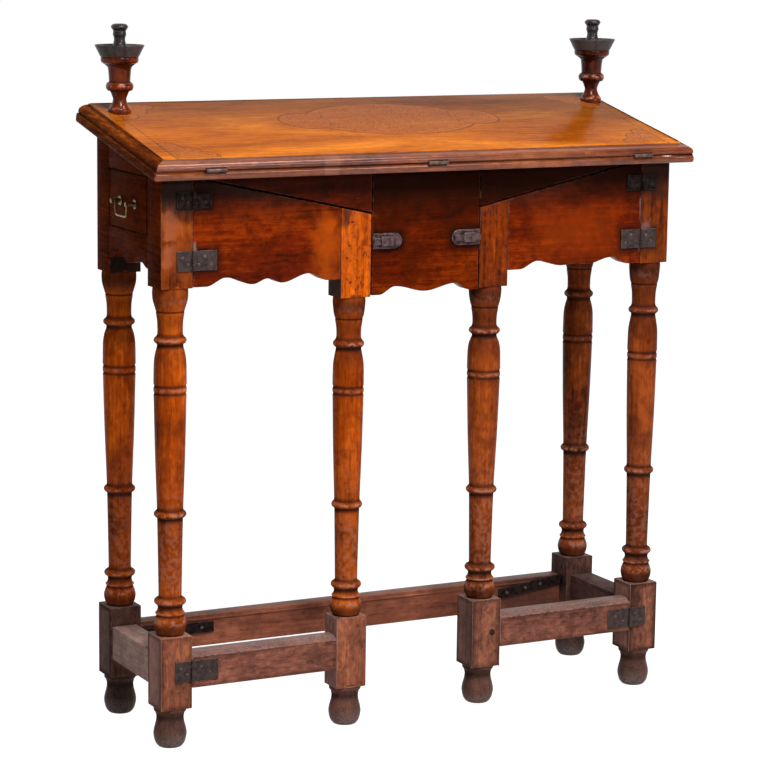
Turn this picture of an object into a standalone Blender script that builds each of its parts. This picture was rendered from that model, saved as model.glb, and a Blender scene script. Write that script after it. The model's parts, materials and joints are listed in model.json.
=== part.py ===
"""Folding gate-leg writing table.

A narrow frame on turned legs carries a sloping board. A moulded leaf of the same
size lies folded on the board, hinged along its front edge, and opens forward onto
two swinging gates. Lengths are in metres and angles in radians. +Z is up, the front
faces -Y, and +X is to the right of someone who stands before the table.
"""

import math
from typing import NamedTuple

import bmesh
import bpy
from mathutils import Matrix, Vector

# Frame
WIDTH_OVER_LEGS = 0.774
DEPTH_OVER_LEGS = 0.222
LEG_BLOCK = 0.045

# Clearances
GAP = 0.0003
SWING_GAP = 0.0015
RUN_GAP = 0.0008

# Leg heights above the floor, and drops below the leaf's hinge line
BOTTOM_BLOCK_BASE = 0.054
BOTTOM_BLOCK_TOP = 0.1535
TOP_BLOCK_DROP = 0.1555
GATE_BLOCK_DROP = 0.1805

# Leg turning: radii, and heights as shares of the turned length
TURNED_SIDES = 20
ROUND_SIDES = 12
TURNING_ROOT = 0.004
BELL_RADIUS = 0.0218
BELL_FOOT_RADIUS = 0.019
NECK_RADIUS = 0.017
BEAD_RADIUS = 0.0206
BEAD_HALF_HEIGHT = 0.0045
BELLY_RADIUS = 0.02125
TAPER_FOOT_RADIUS = 0.0175
SHAFT_FOOT_RADIUS = 0.0152
BALL_NECK_RADIUS = 0.0162
BALL_RADIUS = 0.0208
BALL_HALF_HEIGHT = 0.0135
CORE_RADIUS = 0.0180
BELL_FOOT_AT = 0.936
UPPER_BEAD_AT = 0.856
BELLY_AT = 0.733
MIDDLE_BEAD_AT = 0.352
LOWER_BEAD_AT = 0.098
BALL_AT = 0.0355

# Feet
FOOT_RING_RADIUS = 0.0215
FOOT_RING_HEIGHT = 0.005
FOOT_COVE_RADIUS = 0.0172
FOOT_BALL_RADIUS = 0.0220
FOOT_BALL_CENTRE = 0.0195
FOOT_PAD_RADIUS = 0.0135

# Writing slope
SLOPE = math.radians(11.6)
HINGE_HEIGHT = 0.7735
FRONT_OVERHANG = 0.031
SIDE_OVERHANG = 0.021
BOARD_LENGTH = 0.2785
BOARD_THICKNESS = 0.013
BOARD_EDGE_ROUND = 0.0025
LEAF_THICKNESS = 0.012
LEAF_SIDE_SETBACK = 0.0025
EDGE_TO_PIN = 0.001
MOULDING_WIDTH = 0.014
MOULDING_LIP = 0.0025
QUIRK_DEPTH = 0.0014
MOULDING_STEPS = 7

# Leaf hinges
LEAF_HINGE_WIDTH = 0.029
LEAF_HINGE_INSET = 0.085
LEAF_HINGE_LENGTH = 0.015
LEAF_HINGE_PLATE = 0.0012
LEAF_KNUCKLE_RADIUS = 0.0026
LEAF_PIN_RADIUS = 0.0010
TONGUE_SETBACK = 0.0001

# Rails and panels, with lower edges as drops below the hinge line
RAIL_THICKNESS = 0.020
SIDE_RAIL_THICKNESS = 0.022
FRONT_RAIL_DROP = 0.1335
BACK_RAIL_DROP = 0.1315
SIDE_APRON_DROP = 0.1335
SIDE_APRON_CREST = 0.011
TENON_THICKNESS = 0.008
TENON_LENGTH = 0.015
TENON_SHOULDER = 0.016
TENON_ROOT = 0.004
UPPER_TENON_HEIGHT = 0.007
UPPER_TENON_SHOULDER = 0.003
WAVE_STEPS = 9

# Gates
GATE_SLOPE = math.radians(12.2)
GATE_THICKNESS = 0.022
GATE_TURNING_SHARE = 0.93
STILE_EDGE = 0.083
GATE_APRON_DROP = 0.1545
GATE_CREST = 0.0105
GATE_LAND = 0.0186
GATE_CREST_SHARE = 0.682
GATE_LOBE_SHARE = 0.239
LEAF_REST_GAP = 0.001
WEDGE_GAP = 0.0025
WEDGE_TOE = 0.002
CENTRE_PANEL_DROP = 0.1785
CENTRE_CREST = 0.0105
CENTRE_CREST_OUT = 0.046
CENTRE_LOBE_DROP = 0.0085
CENTRE_FLAT_OUT = 0.070

# Stretchers
STRETCHER_TOP = 0.128
SIDE_STRETCHER_BASE = 0.082
BACK_STRETCHER_BASE = 0.0835
BACK_STRETCHER_TOP = 0.1255
SIDE_STRETCHER_WIDTH = 0.036
SIDE_STRETCHER_INSET = 0.002
BACK_STRETCHER_WIDTH = 0.024
BACK_STRETCHER_INSET = 0.003
GATE_STRETCHER_WIDTH = 0.024
GATE_CHAMFER_WIDTH = 0.008
GATE_CHAMFER_DROP = 0.006


class Gate(NamedTuple):
    """Sizes that differ between the two gates."""

    side: int
    cusp: float
    lobe_rise: float
    leg_depth: float
    foot_rise: float
    stretcher_base: float
    top_drop: float


GATES = {
    "left": Gate(-1, 0.0065, 0.0, 0.038, 0.0, 0.082, 0.0050),
    "right": Gate(1, 0.0015, 0.0025, 0.045, 0.0045, 0.086, 0.0025),
}

# Gate hinges: the upper two hang below the leaf's hinge line, the foot one stands on the floor's height
GATE_PIN_OFFSET = 0.003
GATE_PLATE = 0.002
GATE_KNUCKLE_RADIUS = 0.0027
GATE_PIN_RADIUS = 0.0012
UPPER_HINGE_DROP = 0.0405
UPPER_HINGE_TALL = 0.022
UPPER_HINGE_REACH = 0.025
LOWER_HINGE_DROP = 0.1195
LOWER_HINGE_TALL = 0.026
LOWER_HINGE_REACH = 0.033
FOOT_HINGE_HEIGHT = 0.106
FOOT_HINGE_TALL = 0.028
FOOT_HINGE_REACH = 0.037
TOP_FIXED_REACH = 0.023
FOOT_FIXED_REACH = 0.025

# Corner brackets
BRACKET_HEIGHT = 0.015
BRACKET_THICKNESS = 0.003
BRACKET_REACH = 0.106
BRACKET_SHORT_REACH = 0.016
BRACKET_TOP_DROP = 0.010

# Slide bolts
BOLT_DROP = 0.1055
BOLT_PLATE_LENGTH = 0.043
BOLT_PLATE_WIDTH = 0.021
BOLT_PLATE_THICKNESS = 0.0025
BOLT_LENGTH = 0.040
BOLT_WIDTH = 0.0085
BOLT_THICKNESS = 0.004
KEEPER_START = 0.010
KEEPER_LENGTH = 0.017
KEEPER_WALL = 0.0018

# Drawer
DRAWER_DROP = 0.0895
DRAWER_HEIGHT = 0.0755
DRAWER_LENGTH = 0.300
DRAWER_FRONT_THICKNESS = 0.020
DRAWER_SIDE_THICKNESS = 0.009
DRAWER_BOTTOM_THICKNESS = 0.006
DRAWER_SIDE_DROP = 0.005
BEARER_THICKNESS = 0.010
BEARER_LENGTH = 0.260
GUIDE_HEIGHT = 0.008
GUIDE_WIDTH = 0.008

# Drawer handle
HANDLE_RISE = 0.0365
HANDLE_SPREAD = 0.051
ROSE_RADIUS = 0.0065
ROSE_THICKNESS = 0.0015
POST_RADIUS = 0.0034
POST_REACH = 0.0145
BAIL_PIN_REACH = 0.010
BAIL_RADIUS = 0.0015
BAIL_DROP = 0.0175
BAIL_FOOT_WIDTH = 0.036
BAIL_BEND = 0.005
BAIL_BEND_STEPS = 4

# Candle holders
CANDLE_LEFT_INSET = 0.0440
CANDLE_RIGHT_INSET = 0.0335
CANDLE_TO_BACK_EDGE = 0.045
CANDLE_PEG_RADIUS = 0.0055
CANDLE_PEG_LENGTH = 0.0075
STEM_FOOT_RADIUS = 0.0146
STEM_NECK_RADIUS = 0.0088
STEM_NECK_AT = 0.017
STEM_RING_RADIUS = 0.0125
STEM_RING_AT = 0.0245
STEM_RING_HALF = 0.0015
STEM_BEAD_RADIUS = 0.0182
STEM_BEAD_AT = 0.0332
STEM_BODY_AT = 0.0390
STEM_BODY_RADIUS = 0.0142
STEM_FLARE_AT = 0.0580
STEM_FLARE_RADIUS = 0.0158
STEM_COLLAR_RADIUS = 0.025
STEM_COLLAR_AT = 0.0650
STEM_TOP = 0.0735
PAN_FOOT_RADIUS = 0.0258
PAN_RIM_RADIUS = 0.0333
PAN_HEIGHT = 0.0136
PAN_FLOOR = 0.0074
PAN_RIM_WALL = 0.0022
NOZZLE_FOOT_RADIUS = 0.0094
NOZZLE_WAIST_RADIUS = 0.0072
NOZZLE_WAIST_AT = 0.0205
NOZZLE_RING_RADIUS = 0.0088
NOZZLE_RING_AT = 0.0275
NOZZLE_LIP_RADIUS = 0.0106
NOZZLE_LIP_AT = 0.0402
NOZZLE_LIP_ROUND = 0.0015
NOZZLE_THROAT_RADIUS = 0.0081
NOZZLE_TOP = 0.0438
NOZZLE_BORE_RADIUS = 0.0064
NOZZLE_BORE_DEPTH = 0.0180

# Finishes: base colour, roughness and metallic value
FINISHES = {
    "walnut_top": ((0.42, 0.16, 0.045), 0.25, 0.0),
    "walnut_case": ((0.17, 0.045, 0.016), 0.35, 0.0),
    "walnut_legs": ((0.24, 0.075, 0.022), 0.35, 0.0),
    "honey_wood": ((0.45, 0.16, 0.035), 0.35, 0.0),
    "oak_lining": ((0.30, 0.17, 0.08), 0.65, 0.0),
    "wrought_iron": ((0.035, 0.033, 0.033), 0.55, 0.8),
    "brass": ((0.42, 0.30, 0.13), 0.40, 1.0),
    "ebonised": ((0.022, 0.021, 0.021), 0.45, 0.0),
}

# Derived places
TAN_SLOPE = math.tan(SLOPE)
TAN_GATE = math.tan(GATE_SLOPE)
COS_SLOPE = math.cos(SLOPE)
SIN_SLOPE = math.sin(SLOPE)
HALF_GAP = GAP / 2
TOP_BLOCK_BASE = HINGE_HEIGHT - TOP_BLOCK_DROP
GATE_BLOCK_BASE = HINGE_HEIGHT - GATE_BLOCK_DROP
FRONT_RAIL_BASE = HINGE_HEIGHT - FRONT_RAIL_DROP
BACK_RAIL_BASE = HINGE_HEIGHT - BACK_RAIL_DROP
SIDE_APRON_BASE = HINGE_HEIGHT - SIDE_APRON_DROP
GATE_APRON_BASE = HINGE_HEIGHT - GATE_APRON_DROP
CENTRE_PANEL_BASE = HINGE_HEIGHT - CENTRE_PANEL_DROP
BOLT_HEIGHT = HINGE_HEIGHT - BOLT_DROP
DRAWER_BASE = HINGE_HEIGHT - DRAWER_DROP
# Gate hinges: name, middle height, height, fixed reach and moving reach
GATE_HINGES = (
    ("upper", HINGE_HEIGHT - UPPER_HINGE_DROP, UPPER_HINGE_TALL, TOP_FIXED_REACH, UPPER_HINGE_REACH),
    ("lower", HINGE_HEIGHT - LOWER_HINGE_DROP, LOWER_HINGE_TALL, TOP_FIXED_REACH, LOWER_HINGE_REACH),
    ("foot", FOOT_HINGE_HEIGHT, FOOT_HINGE_TALL, FOOT_FIXED_REACH, FOOT_HINGE_REACH),
)
HALF_WIDTH = WIDTH_OVER_LEGS / 2
BOARD_HALF = HALF_WIDTH + SIDE_OVERHANG
LEAF_HINGE_SPREAD = BOARD_HALF - LEAF_HINGE_INSET
CANDLE_LEFT_X = CANDLE_LEFT_INSET - BOARD_HALF
CANDLE_RIGHT_X = BOARD_HALF - CANDLE_RIGHT_INSET
BOARD_BACK_REACH = (
    (EDGE_TO_PIN + BOARD_LENGTH) * COS_SLOPE + (HALF_GAP + BOARD_THICKNESS) * SIN_SLOPE
)
HINGE_Y = -(BOARD_BACK_REACH - LEAF_KNUCKLE_RADIUS) / 2
LEG_FRONT = HINGE_Y + FRONT_OVERHANG
LEG_BACK = LEG_FRONT + DEPTH_OVER_LEGS
LEG_INNER_X = HALF_WIDTH - LEG_BLOCK
LEG_CENTRE_X = HALF_WIDTH - LEG_BLOCK / 2
GATE_PIN_Y = LEG_FRONT - GATE_PIN_OFFSET
GATE_LENGTH = LEG_INNER_X - STILE_EDGE
FRONT_RAIL_FACE = LEG_FRONT + GATE_THICKNESS + SWING_GAP
FRONT_RAIL_BACK = FRONT_RAIL_FACE + RAIL_THICKNESS
BACK_RAIL_FACE = LEG_BACK - RAIL_THICKNESS
BACK_STRETCHER_FACE = LEG_BACK - BACK_STRETCHER_INSET - BACK_STRETCHER_WIDTH
TALL = HINGE_HEIGHT + BOARD_LENGTH
BOARD_NORMAL = Vector((0, -SIN_SLOPE, COS_SLOPE))
HINGE_POINT = Vector((0, HINGE_Y, HINGE_HEIGHT))
UNDER_BOARD = HINGE_POINT - BOARD_NORMAL * (HALF_GAP + BOARD_THICKNESS + GAP)
GATE_TOP_AT_PIN = (
    HINGE_HEIGHT
    + (GATE_PIN_Y - HINGE_Y) * TAN_SLOPE
    - (HALF_GAP + LEAF_THICKNESS) / COS_SLOPE
    - LEAF_REST_GAP
)


def under_board_height(y):
    """Height of the plane that stands a joint gap below the fixed board."""
    return UNDER_BOARD.z + (y - UNDER_BOARD.y) * TAN_SLOPE


def material(finish):
    """Principled material of a finish, made once."""
    found = bpy.data.materials.get(finish)
    if found:
        return found
    colour, roughness, metallic = FINISHES[finish]
    made = bpy.data.materials.new(finish)
    made.use_nodes = True
    shader = made.node_tree.nodes["Principled BSDF"]
    shader.inputs["Base Color"].default_value = (*colour, 1.0)
    shader.inputs["Roughness"].default_value = roughness
    shader.inputs["Metallic"].default_value = metallic
    made.diffuse_color = (*colour, 1.0)
    return made


def add_object(name, data, place=(0, 0, 0), parent=None, turn_x=0.0):
    """Link an object at a place under its parent."""
    made = bpy.data.objects.new(name, data)
    bpy.context.scene.collection.objects.link(made)
    made.location = place
    made.rotation_euler = (turn_x, 0, 0)
    made.parent = parent
    return made


def mesh_from(bm, name):
    """Turn a bmesh with outward faces into a mesh."""
    bmesh.ops.recalc_face_normals(bm, faces=bm.faces)
    mesh = bpy.data.meshes.new(name)
    bm.to_mesh(mesh)
    bm.free()
    return mesh


def add_piece(name, bm, finish, place=(0, 0, 0), parent=None, smooth=False):
    """Add one named piece of the table."""
    mesh = mesh_from(bm, name)
    mesh.materials.append(material(finish))
    if smooth:
        mesh.shade_smooth()
        mesh.set_sharp_from_angle(angle=math.radians(40))
    return add_object(name, mesh, place, parent)


def add_boolean(target, bm, operation):
    """Join a shape to a piece, or cut it away, in the piece's own frame."""
    name = f"{target.name}.{operation.lower()}.{len(target.modifiers)}"
    operand = add_object(name, mesh_from(bm, name), parent=target)
    operand.hide_render = True
    operand.display_type = "WIRE"
    modifier = target.modifiers.new(operation.title(), "BOOLEAN")
    modifier.operation = operation
    modifier.object = operand


def axis_empty(name, place, parent=None, turn_x=0.0):
    """Empty that stands on a joint's axis and carries what moves with it."""
    return add_object(name, None, place, parent, turn_x)


def box(low, high):
    """Block between two corners."""
    bm = bmesh.new()
    bmesh.ops.create_cube(bm, size=1.0)
    low, high = Vector(low), Vector(high)
    bmesh.ops.scale(bm, vec=high - low, verts=bm.verts)
    bmesh.ops.translate(bm, vec=(low + high) / 2, verts=bm.verts)
    return bm


def merged(*shapes):
    """One bmesh with the separate bodies of several."""
    whole = bmesh.new()
    for shape in shapes:
        mesh = mesh_from(shape, "shape")
        whole.from_mesh(mesh)
        bpy.data.meshes.remove(mesh)
    return whole


AXIS_POINT = {
    "X": lambda a, b, along: (along, a, b),
    "Y": lambda a, b, along: (a, along, b),
    "Z": lambda a, b, along: (a, b, along),
}


def prism(outline, axis, start, end):
    """Outline in the plane across an axis, swept along it from start to end."""
    point = AXIS_POINT[axis]
    bm = bmesh.new()
    face = bm.faces.new([bm.verts.new(point(a, b, start)) for a, b in outline])
    swept = bmesh.ops.extrude_face_region(bm, geom=[face])
    moved = [part for part in swept["geom"] if isinstance(part, bmesh.types.BMVert)]
    bmesh.ops.translate(bm, vec=Vector(point(0, 0, end - start)), verts=moved)
    return bm


def round_outline(radius, centre=(0, 0), sides=ROUND_SIDES):
    """Points of a round outline."""
    turns = [2 * math.pi * k / sides for k in range(sides)]
    return [(centre[0] + radius * math.cos(t), centre[1] + radius * math.sin(t)) for t in turns]


def lathe(profile, sides=TURNED_SIDES):
    """Turn a profile of radius and height, given from top to bottom, about Z."""
    bm = bmesh.new()
    verts = [bm.verts.new((radius, 0, height)) for radius, height in profile]
    edges = [bm.edges.new(pair) for pair in zip(verts, verts[1:])]
    bmesh.ops.spin(
        bm, geom=verts + edges, cent=(0, 0, 0), axis=(0, 0, 1), dvec=(0, 0, 0),
        angle=2 * math.pi, steps=sides, use_merge=True,
    )
    bmesh.ops.remove_doubles(bm, verts=bm.verts, dist=1e-6)
    return bm


def trim(bm, point, normal):
    """Cut away what lies on the normal's side of a plane and close the cut."""
    geometry = bm.verts[:] + bm.edges[:] + bm.faces[:]
    cut = bmesh.ops.bisect_plane(
        bm, geom=geometry, plane_co=point, plane_no=normal, clear_outer=True, dist=1e-6
    )
    rim = [part for part in cut["geom_cut"] if isinstance(part, bmesh.types.BMEdge)]
    bmesh.ops.edgeloop_fill(bm, edges=rim)
    return bm


def half_wave(start, end, steps=WAVE_STEPS):
    """Points after start of a half cosine wave to end."""
    points = []
    for k in range(1, steps + 1):
        share = k / steps
        ease = (1 - math.cos(math.pi * share)) / 2
        points.append((start[0] + (end[0] - start[0]) * share, start[1] + (end[1] - start[1]) * ease))
    return points


def wave_edge(stations):
    """Scalloped edge through its lows and crests."""
    points = [stations[0]]
    for start, end in zip(stations, stations[1:]):
        if start[1] == end[1]:
            points.append(end)
        else:
            points += half_wave(start, end)
    return points


def bead(height, half_height, waist, crown, steps=4):
    """Turned bead, from top to bottom."""
    turns = [math.pi * k / steps for k in range(steps + 1)]
    return [(waist + (crown - waist) * math.sin(t), height + half_height * math.cos(t)) for t in turns]


def quarter(start, end, steps=3, hollow=False):
    """Quarter round after start, swelling or hollow, to end."""
    points = []
    for k in range(1, steps + 1):
        turn = math.pi / 2 * k / steps
        across, down = (1 - math.cos(turn), math.sin(turn))
        if hollow:
            across, down = (math.sin(turn), 1 - math.cos(turn))
        points.append((start[0] + (end[0] - start[0]) * across, start[1] + (end[1] - start[1]) * down))
    return points


def leg_profile(turned_top, share=1.0, foot_rise=0.0):
    """Turned outline of a leg from its top block to the floor."""
    length = turned_top - BOTTOM_BLOCK_TOP

    def at(share):
        return BOTTOM_BLOCK_TOP + share * length

    upper, middle, lower, ball = at(UPPER_BEAD_AT), at(MIDDLE_BEAD_AT), at(LOWER_BEAD_AT), at(BALL_AT)
    bell = (BELL_RADIUS, turned_top)
    profile = [(0, turned_top + TURNING_ROOT), (BELL_RADIUS, turned_top + TURNING_ROOT), bell]
    profile += quarter(bell, (BELL_FOOT_RADIUS, at(BELL_FOOT_AT)))
    profile.append((NECK_RADIUS, at(BELL_FOOT_AT) - BEAD_HALF_HEIGHT / 2))
    profile += bead(upper, BEAD_HALF_HEIGHT, NECK_RADIUS, BEAD_RADIUS)
    shoulder = (NECK_RADIUS, upper - 2 * BEAD_HALF_HEIGHT)
    profile.append(shoulder)
    profile += quarter(shoulder, (BELLY_RADIUS, at(BELLY_AT)), hollow=True)
    profile.append((TAPER_FOOT_RADIUS, middle + 1.5 * BEAD_HALF_HEIGHT))
    profile += bead(middle, BEAD_HALF_HEIGHT, NECK_RADIUS, BEAD_RADIUS)
    profile.append((SHAFT_FOOT_RADIUS, lower + 1.5 * BEAD_HALF_HEIGHT))
    profile += bead(lower, BEAD_HALF_HEIGHT, BALL_NECK_RADIUS, BEAD_RADIUS)
    profile += bead(ball, BALL_HALF_HEIGHT, BALL_NECK_RADIUS, BALL_RADIUS, 5)
    profile.append((CORE_RADIUS, BOTTOM_BLOCK_TOP - TURNING_ROOT))
    foot = [(radius, height + foot_rise) for radius, height in foot_profile()]
    return [(radius * share, height) for radius, height in profile] + foot


def foot_profile():
    """Ring, cove and ball below a leg's bottom block, down to the floor."""
    ring_foot = BOTTOM_BLOCK_BASE - FOOT_RING_HEIGHT
    cove = (FOOT_BALL_CENTRE + ring_foot) / 2 + FOOT_RING_HEIGHT
    points = [
        (CORE_RADIUS, BOTTOM_BLOCK_BASE + TURNING_ROOT),
        (FOOT_RING_RADIUS, BOTTOM_BLOCK_BASE + TURNING_ROOT / 2),
        (FOOT_RING_RADIUS, ring_foot),
        (FOOT_COVE_RADIUS, cove),
    ]
    spread = math.acos(FOOT_PAD_RADIUS / FOOT_BALL_RADIUS)
    for k in range(-2, 4):
        turn = spread * k / 3
        points.append((FOOT_BALL_RADIUS * math.cos(turn), FOOT_BALL_CENTRE * (1 - math.sin(turn) / math.sin(spread))))
    points.append((0, 0))
    return points


def block_outline(depth=LEG_BLOCK):
    """Outline of a leg block about the leg's centre."""
    half, behind = LEG_BLOCK / 2, depth / 2
    return [(-half, -behind), (half, -behind), (half, behind), (-half, behind)]


class Tenon:
    """Stub tenon on a rail's end: a box along X or Y, and the mortise that takes it."""

    def __init__(self, axis, shoulder, direction, across, low, high):
        self.axis = axis
        self.tip = shoulder + direction * TENON_LENGTH
        self.root = shoulder - direction * TENON_ROOT
        self.direction = direction
        self.across = across
        self.low = low
        self.high = high

    def shape(self, spare=0.0):
        """Box of the tenon, or of its mortise with some spare room all round."""
        along = sorted((self.root, self.tip + self.direction * spare))
        half = TENON_THICKNESS / 2 + spare
        sides = (self.across - half, self.across + half)
        first, second = (along, sides) if self.axis == "X" else (sides, along)
        return box((first[0], second[0], self.low - spare), (first[1], second[1], self.high + spare))


def moved(bm, shift):
    """Shift a shape."""
    bmesh.ops.translate(bm, vec=Vector(shift), verts=bm.verts)
    return bm


def rail_tenons(axis, start, end, across, low, high):
    """Tenons on both ends of a rail whose shoulders are at start and end."""
    return [
        Tenon(axis, start, -1, across, low, high),
        Tenon(axis, end, 1, across, low, high),
    ]


def add_rail(name, bm, finish, origin, tenons):
    """Add a rail whose shape is given in the table's frame, with its tenons."""
    back = -Vector(origin)
    piece = add_piece(name, moved(bm, back), finish, origin)
    if tenons:
        shapes = [moved(tenon.shape(), back) for tenon in tenons]
        add_boolean(piece, merged(*shapes), "UNION")
    return piece


def cut_mortises(leg, tenons):
    """Cut the mortises of some tenons, given in the table's frame, into a leg."""
    back = -Vector(leg.location)
    if leg.parent:
        back -= Vector(leg.parent.location)
    shapes = [moved(tenon.shape(GAP), back) for tenon in tenons]
    add_boolean(leg, merged(*shapes), "DIFFERENCE")


def corner_leg(name, x, y, tenons):
    """Fixed corner leg with its top cut to the slope of the board."""
    leg = add_piece(name, lathe(leg_profile(TOP_BLOCK_BASE)), "walnut_legs", (x, y, 0), smooth=True)
    top = prism(block_outline(), "Z", TOP_BLOCK_BASE, TALL)
    trim(top, UNDER_BOARD - Vector((0, y, 0)), BOARD_NORMAL)
    add_boolean(leg, top, "UNION")
    add_boolean(leg, prism(block_outline(), "Z", BOTTOM_BLOCK_BASE, BOTTOM_BLOCK_TOP), "UNION")
    cut_mortises(leg, tenons)
    return leg


def under_board_prism(outline, axis, start, end):
    """Swept outline with its top trimmed to the underside of the fixed board."""
    return trim(prism(outline, axis, start, end), UNDER_BOARD, BOARD_NORMAL)


def end_wave(base, crest):
    """Scalloped lower edge between the legs of one end, from front to back."""
    front, back = LEG_FRONT + LEG_BLOCK + GAP, LEG_BACK - LEG_BLOCK - GAP
    middle, quarter_span = (front + back) / 2, (back - front) / 4
    return wave_edge([
        (front, base),
        (middle - quarter_span, base + crest),
        (middle, base),
        (middle + quarter_span, base + crest),
        (back, base),
    ])


def build_frame():
    """Corner legs, rails, panels and stretchers of the fixed frame."""
    front, back = LEG_FRONT + LEG_BLOCK, LEG_BACK - LEG_BLOCK
    inner = LEG_INNER_X
    shoulder = TENON_SHOULDER / 2
    tenons = {}

    mid = BACK_RAIL_FACE + RAIL_THICKNESS / 2
    top = under_board_height(BACK_RAIL_FACE)
    tenons["back_rail"] = rail_tenons(
        "X", -inner, inner, mid, BACK_RAIL_BASE + TENON_SHOULDER, top - TENON_SHOULDER)
    shape = under_board_prism(
        [(-inner + GAP, BACK_RAIL_BASE), (inner - GAP, BACK_RAIL_BASE), (inner - GAP, TALL), (-inner + GAP, TALL)],
        "Y", BACK_RAIL_FACE, LEG_BACK)
    add_rail("back_rail", shape, "walnut_case", (0, mid, BACK_RAIL_BASE), tenons["back_rail"])

    mid = FRONT_RAIL_FACE + RAIL_THICKNESS / 2
    top = under_board_height(FRONT_RAIL_FACE)
    tenons["front_rail"] = rail_tenons(
        "X", -inner, inner, mid, FRONT_RAIL_BASE + TENON_SHOULDER, top - TENON_SHOULDER)
    shape = under_board_prism(
        [(-inner + GAP, FRONT_RAIL_BASE), (inner - GAP, FRONT_RAIL_BASE), (inner - GAP, TALL), (-inner + GAP, TALL)],
        "Y", FRONT_RAIL_FACE, FRONT_RAIL_BACK)
    add_rail("front_rail", shape, "walnut_case", (0, mid, FRONT_RAIL_BASE), tenons["front_rail"])

    outer, mid = -HALF_WIDTH, -HALF_WIDTH + SIDE_RAIL_THICKNESS / 2
    rail_back = outer + SIDE_RAIL_THICKNESS
    upper_base = DRAWER_BASE + DRAWER_HEIGHT + RUN_GAP
    low = upper_base + UPPER_TENON_SHOULDER
    tenons["left_upper_rail"] = rail_tenons("Y", front, back, mid, low, low + UPPER_TENON_HEIGHT)
    shape = under_board_prism(
        [(front + GAP, upper_base), (back - GAP, upper_base), (back - GAP, TALL), (front + GAP, TALL)],
        "X", outer, rail_back)
    add_rail("left_upper_rail", shape, "walnut_case", (mid, 0, upper_base), tenons["left_upper_rail"])

    apron_top = DRAWER_BASE - RUN_GAP
    tenons["left_apron"] = rail_tenons(
        "Y", front, back, mid, SIDE_APRON_BASE + TENON_SHOULDER, apron_top - TENON_SHOULDER / 2)
    outline = end_wave(SIDE_APRON_BASE, SIDE_APRON_CREST) + [(back - GAP, apron_top), (front + GAP, apron_top)]
    shape = prism(outline, "X", outer, rail_back)
    add_rail("left_apron", shape, "walnut_case", (mid, 0, SIDE_APRON_BASE), tenons["left_apron"])

    mid = HALF_WIDTH - SIDE_RAIL_THICKNESS / 2
    tenons["right_side_rail"] = rail_tenons(
        "Y", front, back, mid, SIDE_APRON_BASE + TENON_SHOULDER, under_board_height(front) - TENON_SHOULDER)
    outline = end_wave(SIDE_APRON_BASE, SIDE_APRON_CREST) + [(back - GAP, TALL), (front + GAP, TALL)]
    shape = under_board_prism(outline, "X", HALF_WIDTH - SIDE_RAIL_THICKNESS, HALF_WIDTH)
    add_rail("right_side_rail", shape, "walnut_case", (mid, 0, SIDE_APRON_BASE), tenons["right_side_rail"])

    mid = BACK_STRETCHER_FACE + BACK_STRETCHER_WIDTH / 2
    tenons["back_stretcher"] = rail_tenons(
        "X", -inner, inner, mid, BACK_STRETCHER_BASE + shoulder, BACK_STRETCHER_TOP - shoulder)
    shape = box(
        (-inner + GAP, BACK_STRETCHER_FACE, BACK_STRETCHER_BASE),
        (inner - GAP, BACK_STRETCHER_FACE + BACK_STRETCHER_WIDTH, BACK_STRETCHER_TOP))
    add_rail("back_stretcher", shape, "walnut_legs", (0, mid, BACK_STRETCHER_BASE), tenons["back_stretcher"])

    for side, name in ((-1, "left_stretcher"), (1, "right_stretcher")):
        edge = side * (HALF_WIDTH - SIDE_STRETCHER_INSET)
        inside = edge - side * SIDE_STRETCHER_WIDTH
        mid = (edge + inside) / 2
        tenons[name] = rail_tenons(
            "Y", front, back, mid, SIDE_STRETCHER_BASE + shoulder, STRETCHER_TOP - shoulder)
        shape = box(
            (min(edge, inside), front + GAP, SIDE_STRETCHER_BASE), (max(edge, inside), back - GAP, STRETCHER_TOP))
        add_rail(name, shape, "walnut_legs", (mid, 0, SIDE_STRETCHER_BASE), tenons[name])

    front_y, back_y = LEG_FRONT + LEG_BLOCK / 2, LEG_BACK - LEG_BLOCK / 2
    left_end = ("left_upper_rail", "left_apron", "left_stretcher")
    right_end = ("right_side_rail", "right_stretcher")
    back_run = ("back_rail", "back_stretcher")
    corner_leg("leg_front_left", -LEG_CENTRE_X, front_y,
               [tenons["front_rail"][0]] + [tenons[name][0] for name in left_end])
    corner_leg("leg_front_right", LEG_CENTRE_X, front_y,
               [tenons["front_rail"][1]] + [tenons[name][0] for name in right_end])
    corner_leg("leg_back_left", -LEG_CENTRE_X, back_y,
               [tenons[name][0] for name in back_run] + [tenons[name][1] for name in left_end])
    corner_leg("leg_back_right", LEG_CENTRE_X, back_y,
               [tenons[name][1] for name in back_run] + [tenons[name][1] for name in right_end])


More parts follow.
